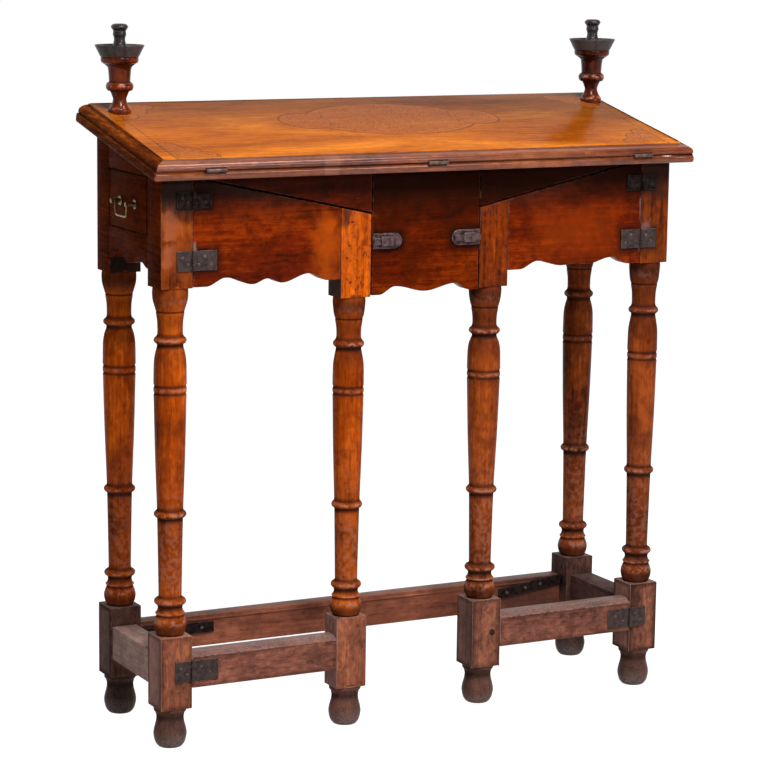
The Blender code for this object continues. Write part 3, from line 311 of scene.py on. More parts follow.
class MaterialGraph(NodeGraph):
    """Nodes of a material round one Principled shader."""

    def __init__(self, name: str) -> None:
        """Start a material with its shader."""
        super().__init__(bpy.data.materials.new(name))
        self.output = self.add("ShaderNodeOutputMaterial")
        self.shader = self.add("ShaderNodeBsdfPrincipled")
        self.feed(self.output.inputs["Surface"], self.shader.outputs["BSDF"])

    def placed(self, stretch: Sequence[float] = (1.0, 1.0, 1.0), shift: float = 0.0) -> Socket:
        """Object coordinates, stretched along each axis and shifted to another part of a pattern.

        Args:
            stretch: factor of each axis.
            shift: how far to move on in the pattern.

        Returns:
            The socket of the place.
        """
        node = self.add("ShaderNodeMapping")
        node.inputs["Scale"].default_value = stretch
        node.inputs["Location"].default_value = tuple(shift * ratio for ratio in PATTERN_SHIFT)
        self.feed(node.inputs["Vector"], self.texture.outputs["Object"])
        return node.outputs[0]

    def noise(self, figure: Figure, place: Socket) -> Socket:
        """Noise from 0 to 1 of a figure at a place.

        Args:
            figure: what the noise looks like.
            place: socket of the place.

        Returns:
            The socket of the noise.
        """
        node = self.add("ShaderNodeTexNoise")
        self.feed(node.inputs["Vector"], place)
        node.inputs["Scale"].default_value = figure.scale
        node.inputs["Detail"].default_value = figure.detail
        node.inputs["Distortion"].default_value = figure.distortion
        return node.outputs[0]

    def layer(self, layer: Layer) -> Socket:
        """Value of a vertex attribute, 0 where the piece has none."""
        return self.add("ShaderNodeAttribute", attribute_name=layer.value).outputs["Fac"]

    def bump(self, height: Value, distance: float, strength: float = 1.0) -> None:
        """Raise the surface by a height of 0 to 1 times a distance in metres.

        Args:
            height: socket of the height.
            distance: height of 1 in metres.
            strength: share of the bump that shows.
        """
        node = self.add("ShaderNodeBump")
        node.inputs["Strength"].default_value = strength
        node.inputs["Distance"].default_value = distance
        self.feed(node.inputs["Height"], height)
        self.feed(self.shader.inputs["Normal"], node.outputs[0])

    def set(self, **sockets: object) -> None:
        """Set or link inputs of the shader, with underscores for the spaces in their names."""
        for name, value in sockets.items():
            self.feed(self.shader.inputs[name.replace("_", " ")], value)


class Finish:
    """A finish whose material is made once and shared by its pieces."""

    name: str

    def material(self) -> bpy.types.Material:
        """Material of the finish."""
        return bpy.data.materials.get(self.name) or self.build()

    def build(self) -> bpy.types.Material:
        """Make the material."""
        raise NotImplementedError


@dataclass(frozen=True)
class Patch:
    """Odd spot on a front, with a ragged edge."""

    centre: Point
    half: Point
    colour: Colour
    share: float = 0.9
    ragged: float = 0.010
    soft: float = 0.0015


@dataclass(frozen=True)
class Wood(Finish):
    """Old waxed wood with grain streaks, pores, specks, grime, worn edges, painted shade and painted highlights.
    """

    name: str
    grain: Axis
    shade: Colour
    body: Colour
    glow: Colour
    roughness: float = 0.36
    specular: float = 0.25
    stripe: float = 0.35
    speckle: float = 0.5
    grime: float = 0.5
    mottle: float = 0.22
    # pale colour of rubbed edges, and of painted highlights on turned crowns
    wear: Colour = (0.36, 0.17, 0.11)
    wear_and_sheen_share: float = 0.28
    # dark colour of pits, stains and grime, and of painted shadow and painted shade in hollows
    soil_and_shade: Colour = (0.022, 0.011, 0.008)
    dust: float = 0.0
    film: float = 0.0
    floor_dust: float = 0.0
    # strength of a painted shadow under the overhanging top, then the heights it fades in over and its ragged edge
    overhang_shadow: float = 0.0
    overhang_shadow_range: Point = (0.692, 0.764)
    overhang_shadow_wave: float = 0.03
    dents: float = 0.0003
    relief: float = 0.6
    pore_depth: float = 0.25
    pore_share: float = 0.45
    grime_and_shade_share: float = 0.90
    groove_roughness: float = 0.75
    uneven: float = 0.26
    halo_share: float = 0.90
    halo_wave: float = 0.016
    dust_colour: Colour = (0.25, 0.20, 0.185)
    shade_range: Point = (0.26, 0.50)
    glow_range: Point = (0.48, 0.74)
    pore_range: Point = (0.54, 0.70)
    pit_range: Point = (0.56, 0.65)
    pitted_range: Point = (0.40, 0.60)
    blotch_range: Point = (0.46, 0.72)
    scuff_range: Point = (0.42, 0.62)
    halo_range: Point = (0.005, 0.022)
    upward_range: Point = (0.35, 0.95)
    dust_range: Point = (0.20, 0.74)
    floor_range: Point = (0.004, 0.026)
    stained_by: tuple[str, ...] = ()
    patches: tuple[Patch, ...] = ()
    shift: float = 0.0

    def pattern(self, graph: MaterialGraph, figure: Figure) -> Socket:
        """Noise of a figure, drawn out along the grain."""
        stretch = tuple(figure.along if axis is self.grain else 1.0 for axis in Axis)
        return graph.noise(figure, graph.placed(stretch, self.shift + figure.shift))

    def ground(self, graph: MaterialGraph) -> Socket:
        """Colour of the bare wood.

        Args:
            graph: graph of the material.

        Returns:
            The socket of the colour.
        """
        tone = self.pattern(graph, Figures.cloud)
        for figure, strength in ((Figures.streak, self.stripe), (Figures.mottle, self.mottle)):
            swing = graph.minus(self.pattern(graph, figure), NOISE_MIDDLE)
            tone = graph.math("MULTIPLY_ADD", swing, strength * 2.0, tone)
        colour = graph.mix(graph.fade(tone, *self.shade_range), self.shade, self.body)
        return graph.mix(graph.fade(tone, *self.glow_range), colour, self.glow)

    def stained(self, graph: MaterialGraph, colour: Socket, cloud: Socket) -> Socket:
        """Colour with dark halos round iron fittings and with odd patches, some of them painted shadow.

        Args:
            graph: graph of the material.
            colour: colour so far.
            cloud: noise that makes the edges ragged.

        Returns:
            The socket of the colour.
        """
        reach: Socket | None = None
        for node in self.stained_by:
            low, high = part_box(node)
            middle, half = (low + high) / 2, (high - low) / 2
            near = graph.beyond((middle.x, middle.z), (half.x, half.z))
            reach = near if reach is None else graph.math("MINIMUM", reach, near)
        if reach is not None:
            ragged = graph.math("MULTIPLY_ADD", cloud, self.halo_wave, reach)
            halo = graph.minus(1.0, graph.fade(ragged, *self.halo_range))
            colour = graph.mix(graph.times(halo, self.halo_share), colour, self.soil_and_shade)
        for patch in self.patches:
            edge = graph.beyond(patch.centre, patch.half)
            edge = graph.math("MULTIPLY_ADD", graph.minus(cloud, NOISE_MIDDLE), patch.ragged, edge)
            share = graph.times(graph.inside(edge, patch.soft), patch.share)
            colour = graph.mix(share, colour, patch.colour)
        return colour

    def dusted(self, graph: MaterialGraph, colour: Socket) -> Socket:
        """Colour with dust on faces that look up, a grey film all over, and dirt from the floor.

        Args:
            graph: graph of the material.
            colour: colour so far.

        Returns:
            The socket of the colour.
        """
        up = graph.fade(graph.axes("Normal")[2], *self.upward_range)
        speck = graph.fade(self.pattern(graph, Figures.dust), *self.dust_range)
        low = graph.minus(1.0, graph.fade(graph.axes()[2], *self.floor_range))
        cover = graph.math("MULTIPLY_ADD", up, self.dust, self.film)
        cover = graph.math("MULTIPLY_ADD", low, self.floor_dust, cover)
        return graph.mix(graph.times(cover, speck, True), colour, self.dust_colour)

    def worn(self, graph: MaterialGraph, colour: Socket, groove: Socket) -> Socket:
        """Colour with pale rubbed edges and painted highlights, and with grime and painted shade in hollows.

        Args:
            graph: graph of the material.
            colour: colour so far.
            groove: strength of the grime and painted shade.

        Returns:
            The socket of the colour.
        """
        scuff = graph.fade(self.pattern(graph, Figures.scuffs_and_sheen), *self.scuff_range)
        rubbed = graph.times(graph.layer(Layer.WEAR), graph.times(scuff, self.wear_and_sheen_share))
        colour = graph.mix(rubbed, colour, self.wear)
        return graph.mix(graph.times(groove, self.grime_and_shade_share), colour, self.soil_and_shade)

    def build(self) -> bpy.types.Material:
        """Make the material.

        Returns:
            The new material.
        """
        graph = MaterialGraph(self.name)
        colour = self.ground(graph)
        pores = self.pattern(graph, Figures.pores)
        pore_share = graph.times(graph.fade(pores, *self.pore_range), self.pore_share)
        colour = graph.mix(pore_share, colour, self.shade, "MULTIPLY")
        cloud = self.pattern(graph, Figures.blotches)
        pits = graph.fade(self.pattern(graph, Figures.pits), *self.pit_range)
        pits = graph.times(pits, graph.fade(cloud, *self.pitted_range))
        colour = graph.mix(graph.times(pits, self.speckle), colour, self.soil_and_shade)
        blotch = graph.times(graph.fade(cloud, *self.blotch_range), self.grime)
        colour = graph.mix(blotch, colour, self.shade)
        # painted shadow of the overhanging top, darker towards the top of the piece
        if self.overhang_shadow:
            high = graph.math("MULTIPLY_ADD", cloud, self.overhang_shadow_wave, graph.axes()[2])
            high = graph.fade(high, *self.overhang_shadow_range)
            colour = graph.mix(graph.times(high, self.overhang_shadow), colour, self.soil_and_shade)
        colour = self.stained(graph, colour, cloud)
        if self.dust or self.film or self.floor_dust:
            colour = self.dusted(graph, colour)
        # the groove layer darkens as grime and painted shade, the wear layer pales as rubbed wear and painted
        # highlights
        groove = graph.layer(Layer.GROOVE)
        colour = self.worn(graph, colour, groove)
        polish = self.pattern(graph, Figures.polish)
        polish = graph.math("MULTIPLY_ADD", polish, self.uneven, self.roughness - self.uneven / 2)
        roughness = graph.math("MULTIPLY_ADD", groove, self.groove_roughness, polish, clamp=True)
        graph.set(Base_Color=colour, Roughness=roughness, Specular_IOR_Level=self.specular)
        dents = self.pattern(graph, Figures.dents)
        graph.bump(graph.math("MULTIPLY_ADD", pores, -self.pore_depth, dents), self.dents, self.relief)
        return graph.owner


@dataclass(frozen=True)
class Marquetry(Wood):
    """Polished walnut field with a long cartouche and lobed corners of fine seaweed inlay."""

    middle: Point = (0.012, 0.0265)
    oval: Point = (0.128, 0.0735)
    nose: Point = (0.040, 0.036)
    corner: Point = (0.372, 0.122)
    lobe: float = 0.044
    lobe_share: float = 0.4
    lobe_spots: tuple[Point, ...] = ((1.05, 0.2), (0.2, 1.15), (0.68, 0.68))
    line: float = 0.0017
    band_share: float = 0.35
    soft: float = 0.0005
    ground_soft: float = 0.0004
    frond_length: float = 0.5
    frond_turns: float = 26.0
    frond_range: Point = (0.10, 0.62)
    frond_share: float = 0.75
    inlay: Colour = (0.110, 0.028, 0.006)
    inlay_share: float = 0.88
    tint: Colour = (0.39, 0.110, 0.026)
    tint_share: float = 0.50
    # darker towards the back and right: partly patina, partly painted shade
    aged: Colour = (0.41, 0.46, 1.0)
    aged_and_shaded_slant: float = 0.16
    aged_and_shaded_range: Point = (-0.09, 0.14)

    @staticmethod
    def ellipse(graph: MaterialGraph, place: tuple[Value, Value], centre: Point, radii: Point) -> Socket:
        """Distance from the edge of an ellipse, negative inside.

        Args:
            graph: graph of the material.
            place: place along and across the field.
            centre: middle of the ellipse.
            radii: half sizes along and across.

        Returns:
            The socket of the distance.
        """
        along, across = (
            graph.math("DIVIDE", graph.minus(spot, middle), radius)
            for spot, middle, radius in zip(place, centre, radii))
        square = graph.math("MULTIPLY_ADD", along, along, graph.times(across, across))
        return graph.times(graph.minus(graph.math("SQRT", square), 1.0), min(radii))

    def shape(self, graph: MaterialGraph, x: Socket, y: Socket, place: tuple[Socket, Socket]) -> Socket:
        """Distance from the edge of the cartouche and the corners, negative inside.

        Args:
            graph: graph of the material.
            x: place along the field.
            y: place across the field.
            place: mirrored place from the middle of the cartouche.

        Returns:
            The socket of the distance.
        """
        oval = self.ellipse(graph, place, (0.0, 0.0), self.oval)
        nose = self.ellipse(graph, place, (self.oval[0], 0.0), self.nose)
        cartouche = graph.math("MINIMUM", oval, nose)
        inward = tuple(
            graph.minus(edge, graph.math("ABSOLUTE", spot)) for edge, spot in zip(self.corner, (x, y)))
        size = self.lobe
        small = (size * self.lobe_share, size * self.lobe_share)
        corner = self.ellipse(graph, inward, (0.0, 0.0), (size, size))
        for along, across in self.lobe_spots:
            lobe = self.ellipse(graph, inward, (size * along, size * across), small)
            corner = graph.math("MINIMUM", corner, lobe)
        beyond = graph.times(graph.math("MINIMUM", *inward), -1.0)
        return graph.math("MINIMUM", cartouche, graph.math("MAXIMUM", corner, beyond))

    def inlaid(self, graph: MaterialGraph) -> tuple[Socket, Socket]:
        """Where the inlay lies.

        Args:
            graph: graph of the material.

        Returns:
            The share of inlaid ground, and the share of dark line on the field.
        """
        x, y, _ = graph.axes()
        place = tuple(
            graph.math("ABSOLUTE", graph.minus(spot, middle)) for spot, middle in zip((x, y), self.middle))
        shape = self.shape(graph, x, y, place)
        ground = graph.inside(shape, self.ground_soft)
        rim = graph.inside(graph.minus(graph.math("ABSOLUTE", shape), self.line / 2), self.soft)
        band = graph.math("ABSOLUTE", graph.minus(graph.math("ABSOLUTE", x), self.corner[0]))
        band = graph.inside(graph.minus(band, self.line * self.band_share), self.soft)
        mirrored = graph.add("ShaderNodeCombineXYZ")
        graph.feed(mirrored.inputs[0], place[0])
        graph.feed(mirrored.inputs[1], graph.times(place[1], self.frond_length))
        weed = graph.noise(Figures.fronds, mirrored.outputs[0])
        curl = graph.math("ABSOLUTE", graph.math("SINE", graph.times(weed, self.frond_turns)))
        fronds = graph.times(graph.minus(1.0, graph.fade(curl, *self.frond_range)), ground)
        fronds = graph.times(fronds, self.frond_share)
        return ground, graph.math("MAXIMUM", graph.math("MAXIMUM", rim, band), fronds)

    def ground(self, graph: MaterialGraph) -> Socket:
        """Colour of the field with its inlay, darker towards the back and right, partly as painted shade.

        Args:
            graph: graph of the material.

        Returns:
            The socket of the colour.
        """
        colour = Wood.ground(self, graph)
        x, y, _ = graph.axes()
        # darker towards the back and right, partly painted shade
        far = graph.fade(graph.math("MULTIPLY_ADD", x, self.aged_and_shaded_slant, y), *self.aged_and_shaded_range)
        colour = graph.mix(far, colour, self.aged, "MULTIPLY")
        inlaid, lines = self.inlaid(graph)
        colour = graph.mix(graph.times(inlaid, self.tint_share), colour, self.tint)
        return graph.mix(graph.times(lines, self.inlay_share), colour, self.inlay)


@dataclass(frozen=True)
class Metal(Finish):
    """Forged or cast metal with hammer marks, stains and bright rubbed edges."""

    name: str
    body: Colour
    stain: Colour
    bright: Colour
    metallic: float
    roughness: float
    hammered: float = 0.0006
    specular: float = 0.15
    uneven: float = 0.22
    shine: float = 0.08
    relief: float = 0.8
    stain_range: Point = (0.36, 0.66)
    rub_range: Point = (0.34, 0.60)

    def build(self) -> bpy.types.Material:
        """Make the material.

        Returns:
            The new material.
        """
        graph = MaterialGraph(self.name)
        plain = graph.placed()
        cloud = graph.fade(graph.noise(Figures.stains, plain), *self.stain_range)
        colour = graph.mix(cloud, self.body, self.stain)
        scuff = graph.fade(graph.noise(Figures.rubs, plain), *self.rub_range)
        colour = graph.mix(graph.times(graph.layer(Layer.WEAR), scuff), colour, self.bright)
        rough = graph.math("MULTIPLY_ADD", cloud, self.uneven, self.roughness - self.shine)
        graph.set(
            Base_Color=colour, Roughness=rough, Metallic=self.metallic, Specular_IOR_Level=self.specular)
        graph.bump(graph.noise(Figures.hammering, plain), self.hammered, self.relief)
        return graph.owner


def front_iron() -> tuple[str, ...]:
    """Plates on the front of the case that stain the wood round them.

    Returns:
        The names of the nodes.
    """
    return tuple(
        node for node in frame["nodes"]
        if node.startswith("bolt_plate") or (node.startswith("gate_hinge") and "foot" not in node))


class Palette:
    """Finishes of the table."""

    field = Marquetry(
        "marquetry_field", Axis.X, (0.2707, 0.0563, 0.003), (0.4512, 0.1096, 0.005), (0.665, 0.1892, 0.01),
        roughness=0.17, specular=0.009, stripe=0.24, mottle=0.12, speckle=0.08, grime=0.20, dents=0.00008)
    inner_field = Wood(
        "plain_writing_field", Axis.X, (0.20, 0.045, 0.008), (0.36, 0.095, 0.014), (0.52, 0.16, 0.022),
        roughness=0.34, specular=0.08, speckle=0.10, grime=0.25, shift=11.0)
    moulding = Wood(
        "polished_moulding", Axis.X, (0.0721, 0.014, 0.0053), (0.1752, 0.0387, 0.0126),
        (0.2885, 0.0753, 0.021),
        roughness=0.22, specular=0.40, speckle=0.25, grime=0.4, wear_and_sheen_share=0.12, dents=0.0001,
        patches=(Patch((-0.156, 0.78), (0.011, 0.03), (0.30, 0.105, 0.055), 0.35, 0.003),))
    moulding_end = Wood(
        "polished_moulding_end", Axis.Y, (0.050, 0.008, 0.002), (0.15, 0.028, 0.003), (0.30, 0.072, 0.008),
        roughness=0.30, specular=0.003, speckle=0.35, grime=0.55, wear=(0.26, 0.09, 0.03), wear_and_sheen_share=0.08)
    front_case = Wood(
        "red_walnut_front", Axis.X, (0.0432, 0.0046, 0.0008), (0.1295, 0.011, 0.0008),
        (0.2591, 0.0293, 0.0015),
        specular=0.03, roughness=0.30, stripe=0.22, mottle=0.24, speckle=0.55, grime=0.50, overhang_shadow=0.97,
        soil_and_shade=(0.014, 0.0035, 0.0015), stained_by=front_iron(), patches=(
            Patch((-0.150, 0.655), (0.016, 0.046), (0.44, 0.072, 0.004), 0.60, 0.040, 0.014),
            Patch((0.235, 0.668), (0.060, 0.030), (0.26, 0.034, 0.002), 0.45, 0.050, 0.030),
            Patch((-0.3400, 0.652), (0.0008, 0.024), (0.30, 0.23, 0.21), 0.55, 0.014, 0.0022),
            Patch((0.3400, 0.672), (0.0008, 0.038), (0.30, 0.23, 0.21), 0.45, 0.014, 0.0022)))
    # shaded copy of the front: painted shade on the centre panel and the right wedge
    front_shaded = replace(
        front_case, name="red_walnut_dark", shade=(0.034, 0.0040, 0.0008), body=(0.103, 0.0096, 0.0008),
        glow=(0.206, 0.0253, 0.0015), specular=0.012,
        overhang_shadow=0.94, overhang_shadow_range=(0.676, 0.750), shift=12.0)
    back_case = replace(
        front_case, name="red_walnut_back", overhang_shadow=0.5, stained_by=(), patches=(), shift=14.0)
    front_wedge = replace(front_case, name="red_walnut_wedge", overhang_shadow=0.80, shift=13.0)
    side_case = Wood(
        "red_walnut_side", Axis.Y, (0.051, 0.007, 0.001), (0.129, 0.018, 0.001), (0.202, 0.032, 0.002),
        specular=0.002, speckle=0.4, grime=0.5)
    # dark finish: painted shade on the gate legs' top block sides, the back left top block and the drawer's cock
    # bead; also the dark peg end
    grubby_and_shaded = Wood(
        "grubby_side", Axis.Z, (0.014, 0.006, 0.004), (0.030, 0.011, 0.007), (0.055, 0.020, 0.012),
        specular=0.01, roughness=0.5, speckle=0.4, grime=0.6, film=0.06)
    honey = Wood(
        "honey_block", Axis.Z, (0.205, 0.030, 0.003), (0.521, 0.087, 0.003), (0.781, 0.167, 0.005),
        specular=0.05, roughness=0.28, speckle=1.0, mottle=0.28, grime=0.35, shift=1.0, overhang_shadow=0.35,
        patches=(
            Patch((-0.1205, 0.702), (0.009, 0.013), (0.060, 0.009, 0.003), 0.85, 0.022, 0.004),))
    amber = Wood(
        "amber_block", Axis.Z, (0.0525, 0.0076, 0.0018), (0.1763, 0.0244, 0.0018), (0.3242, 0.0538, 0.0027),
        specular=0.05, roughness=0.28, speckle=1.0, mottle=0.30, grime=0.5, shift=2.0, overhang_shadow=0.5)
    corner = Wood(
        "corner_block", Axis.Z, (0.065, 0.010, 0.002), (0.23, 0.040, 0.005), (0.38, 0.080, 0.012),
        specular=0.03, mottle=0.26, speckle=0.55, grime=0.5, shift=4.0, overhang_shadow=0.96,
        stained_by=front_iron(),
        patches=(
            Patch((-0.3765, 0.690), (0.003, 0.034), (0.40, 0.125, 0.065), 0.46, 0.100, 0.014),
            Patch((-0.3600, 0.668), (0.012, 0.030), (0.42, 0.085, 0.012), 0.45, 0.060, 0.014),
            Patch((0.3700, 0.690), (0.020, 0.060), (0.05, 0.010, 0.003), 0.28, 0.060, 0.030),
            Patch((0.3500, 0.676), (0.004, 0.008), (0.22, 0.12, 0.11), 0.5, 0.030, 0.004)))
    turned = Wood(
        "turned_leg", Axis.Z, (0.0872, 0.0108, 0.0012), (0.3283, 0.0493, 0.0024), (0.5951, 0.1086, 0.006),
        roughness=0.26, specular=0.03, stripe=0.22, mottle=0.20, speckle=0.30, grime=0.55,
        wear=(0.52, 0.22, 0.14), wear_and_sheen_share=0.95, soil_and_shade=(0.018, 0.008, 0.006))
    # shaded copy of the turned leg for the front right leg: painted shade
    turned_shaded = Wood(
        "turned_leg_dark", Axis.Z, (0.0437, 0.0067, 0.0015), (0.1748, 0.0313, 0.0053),
        (0.3337, 0.0671, 0.0114),
        roughness=0.24, specular=0.03, stripe=0.22, mottle=0.20, speckle=0.30, grime=0.55,
        wear=(0.44, 0.19, 0.13), wear_and_sheen_share=0.95, soil_and_shade=(0.018, 0.008, 0.006), shift=3.7)
    # shaded copy for the back right leg: painted shade
    turned_back_shaded = replace(
        turned_shaded, name="turned_leg_back", shade=(0.052, 0.009, 0.002), body=(0.215, 0.040, 0.007),
        glow=(0.410, 0.086, 0.015), shift=9.1)
    turned_brown = replace(
        turned, name="turned_leg_brown", shade=(0.070, 0.012, 0.003), body=(0.265, 0.048, 0.007),
        glow=(0.480, 0.104, 0.017), shift=4.4)
    # lit copy of the turned leg for the back left leg: painted light
    turned_lit = replace(
        turned, name="turned_leg_far", shade=(0.095, 0.0120, 0.0012), body=(0.390, 0.0590, 0.0030),
        glow=(0.700, 0.1310, 0.0060), shift=1.9)
    low_block = Wood(
        "scuffed_block", Axis.Z, (0.0705, 0.0204, 0.0111), (0.2266, 0.068, 0.0343),
        (0.4531, 0.1409, 0.0614),
        roughness=0.42, specular=0.04, stripe=0.10, mottle=0.34, speckle=0.70, grime=0.60, dust=0.4,
        film=0.06, wear=(0.30, 0.18, 0.14), shift=15.0)
    # shaded copy of the low block for the right hand legs: painted shade
    low_block_shaded = replace(
        low_block, name="scuffed_block_dim", shade=(0.054, 0.017, 0.010), body=(0.172, 0.057, 0.034),
        glow=(0.345, 0.118, 0.060), shift=16.0)
    low_block_dark = Wood(
        "scuffed_block_dark", Axis.Z, (0.026, 0.009, 0.006), (0.085, 0.030, 0.020), (0.15, 0.052, 0.032),
        roughness=0.45, specular=0.02, stripe=0.22, mottle=0.42, speckle=0.7, grime=0.70, dust=0.4,
        film=0.12, shift=5.5)
    low_side = Wood(
        "scuffed_block_side", Axis.Z, (0.1284, 0.0514, 0.0376), (0.3422, 0.1543, 0.1167),
        (0.5354, 0.2634, 0.207),
        roughness=0.48, specular=0.01, stripe=0.22, mottle=0.24, speckle=0.40, grime=0.45, film=0.40,
        shift=5.2)
    # shaded copy of the low block's sides for the right hand legs: painted shade
    low_side_shaded = replace(
        low_side, name="scuffed_side_dim", shade=(0.090, 0.032, 0.022), body=(0.260, 0.100, 0.070),
        glow=(0.400, 0.165, 0.122), shift=5.8)
    stretcher = Wood(
        "scuffed_stretcher", Axis.X, (0.0665, 0.0212, 0.0135), (0.1852, 0.0616, 0.0414),
        (0.3515, 0.1214, 0.072),
        roughness=0.42, specular=0.03, stripe=0.12, mottle=0.34, speckle=0.65, grime=0.60, dust=0.60,
        film=0.07, wear=(0.34, 0.26, 0.24), wear_and_sheen_share=0.45)
    back_stretcher = Wood(
        "back_stretcher", Axis.X, (0.085, 0.024, 0.013), (0.230, 0.068, 0.037), (0.390, 0.124, 0.065),
        roughness=0.36, specular=0.03, stripe=0.22, mottle=0.18, speckle=0.35, grime=0.45, dust=0.2,
        film=0.06, shift=2.0, patches=(
            # both patches are painted shadow: deep shade inside the case at the right end and by the left bracket
            Patch((0.285, 0.115), (0.060, 0.060), (0.030, 0.011, 0.007), 0.80, 0.060, 0.040),
            Patch((-0.300, 0.130), (0.030, 0.030), (0.030, 0.011, 0.007), 0.70, 0.050, 0.040)))
    side_stretcher = Wood(
        "scuffed_side_stretcher", Axis.Y, (0.1568, 0.0789, 0.0624), (0.3763, 0.2146, 0.174),
        (0.5645, 0.3457, 0.2868),
        roughness=0.48, specular=0.01, stripe=0.25, mottle=0.20, speckle=0.35, grime=0.5, film=0.5)
    inner_stretcher = Wood(
        "dark_side_stretcher", Axis.Y, (0.018, 0.009, 0.008), (0.055, 0.026, 0.021), (0.10, 0.046, 0.036),
        roughness=0.48, specular=0.01, stripe=0.25, mottle=0.36, speckle=0.5, grime=0.5, dust=0.10,
        film=0.06)
    foot = Wood(
        "dusty_foot", Axis.Z, (0.0209, 0.0087, 0.0069), (0.0789, 0.0296, 0.0196), (0.1496, 0.054, 0.0345),
        roughness=0.40, specular=0.03, stripe=0.15, mottle=0.22, speckle=0.7, grime=0.6, film=0.14,
        floor_dust=0.60, wear=(0.30, 0.24, 0.22), shift=6.0)
    # shaded copy of the foot for the back legs: painted shade
    foot_shaded = replace(
        foot, name="dusty_foot_dark", shade=(0.016, 0.008, 0.007), body=(0.055, 0.025, 0.018),
        glow=(0.105, 0.046, 0.032), shift=6.5)
    stem = Wood(
        "turned_stem", Axis.Z, (0.0194, 0.0022, 0.0006), (0.0792, 0.0087, 0.0006), (0.1707, 0.0242, 0.0015),
        roughness=0.16, specular=0.14, stripe=0.2, mottle=0.30, speckle=0.4, grime=0.6, dents=0.00004,
        wear=(0.55, 0.22, 0.14), wear_and_sheen_share=0.95, shift=7.0)
    ebony = Wood(
        "ebonised_pan", Axis.Z, (0.039, 0.031, 0.029), (0.076, 0.062, 0.059), (0.112, 0.092, 0.087),
        roughness=0.40, specular=0.10, stripe=0.2, speckle=0.2, grime=0.3, dents=0.0001, shift=8.0)
    ebony_polished = Wood(
        "ebonised_nozzle", Axis.Z, (0.016, 0.012, 0.012), (0.032, 0.024, 0.023), (0.050, 0.038, 0.036),
        roughness=0.30, specular=0.40, stripe=0.2, mottle=0.1, speckle=0.1, grime=0.3, dents=0.00001,
        shift=8.5)
    oak = Wood(
        "plain_oak", Axis.X, (0.16, 0.085, 0.038), (0.30, 0.17, 0.08), (0.40, 0.24, 0.12),
        roughness=0.62, specular=0.1, speckle=0.3, grime=0.4, shift=9.0)
    iron = Metal(
        "forged_iron", (0.058, 0.037, 0.034), (0.030, 0.020, 0.018), (0.20, 0.15, 0.14), 0.25, 0.42)
    # dark iron of the brackets; on the upper hinges it is painted shade under the overhanging top
    iron_dark = Metal(
        "sooty_iron", (0.020, 0.013, 0.011), (0.006, 0.003, 0.003), (0.07, 0.05, 0.04), 0.1, 0.50,
        specular=0.04)
    bolt_iron = Metal(
        "bolt_iron", (0.115, 0.064, 0.068), (0.034, 0.020, 0.021), (0.25, 0.19, 0.18), 0.25, 0.42)
    hinge_iron = Metal(
        "worn_hinge", (0.16, 0.105, 0.085), (0.060, 0.036, 0.028), (0.38, 0.29, 0.25), 0.35, 0.40, 0.0002)
    brass = Metal(
        "aged_brass", (0.17, 0.095, 0.035), (0.040, 0.020, 0.009), (0.62, 0.46, 0.24), 0.85, 0.34, 0.0001)


def new_mesh() -> bmesh.types.BMesh:
    """Empty mesh with the layers that the finishes read."""
    bm = bmesh.new()
    for layer in Layer:
        bm.verts.layers.float.new(layer.value)
    return bm


def merged_copy(node: str) -> bmesh.types.BMesh:
    """Copy of a CAD node's mesh with its loose triangles joined into faces.

    Args:
        node: name of the node.

    Returns:
        The mesh.
    """
    bm = new_mesh()
    bm.from_mesh(frame["nodes"][node].data)
    bmesh.ops.remove_doubles(bm, verts=bm.verts, dist=MERGE)
    bmesh.ops.dissolve_limit(
        bm, angle_limit=FLAT_ANGLE, use_dissolve_boundaries=False, verts=bm.verts, edges=bm.edges,
        delimit={"NORMAL"})
    paint(bm, 0)
    return bm


def paint(bm: bmesh.types.BMesh, number: int) -> None:
    """Give all faces of a mesh one material number."""
    for face in bm.faces:
        face.material_index = number


def soften(bm: bmesh.types.BMesh, width: float, shortest: float, angle: float = 30.0) -> None:
    """Round the sharp edges of a mesh and mark them as worn.

    Args:
        bm: mesh to work on.
        width: width of the rounding.
        shortest: edges shorter than this stay sharp.
        angle: edges flatter than this, in degrees, stay as they are.
    """
    limit = math.radians(angle)
    edges = [
        edge for edge in bm.edges
        if len(edge.link_faces) == 2 and edge.calc_length() > shortest and edge.calc_face_angle(0.0) > limit]
    made = bmesh.ops.bevel(
        bm, geom=edges, offset=width, offset_type="OFFSET", segments=EDGE_SEGMENTS, profile=0.5,
        affect="EDGES", material=-1, clamp_overlap=False)
    fresh = set(made["faces"])
    wear = bm.verts.layers.float[Layer.WEAR.value]
    for vert in made["verts"]:
        if all(face in fresh for face in vert.link_faces):
            vert[wear] = 1.0


def darken_rims(bm: bmesh.types.BMesh, width: float, power: float, smallest: float = 0.0015) -> None:
    """Darken the rims of the large upright four-cornered faces of a mesh.

    Args:
        bm: mesh to work on.
        width: how far the darkening reaches from the rim.
        power: strength of the darkening at the rim.
        smallest: faces with less area than this stay as they are.
    """
    faces = [
        face for face in bm.faces
        if len(face.verts) == 4 and abs(face.normal.z) < UPRIGHT and face.calc_area() > smallest]
    rims = {vert for face in faces for vert in face.verts}
    bmesh.ops.inset_individual(bm, faces=faces, thickness=width)
    groove = bm.verts.layers.float[Layer.GROOVE.value]
    for vert in rims:
        vert[groove] = power


def absorb(target: bmesh.types.BMesh, *sources: bmesh.types.BMesh) -> bmesh.types.BMesh:
    """Add meshes to another and free them.

    Args:
        target: mesh that grows.
        sources: meshes to add.

    Returns:
        The mesh that the others went into.
    """
    for source in sources:
        mesh = bpy.data.meshes.new("passing")
        source.to_mesh(mesh)
        source.free()
        target.from_mesh(mesh)
        bpy.data.meshes.remove(mesh)
    return target


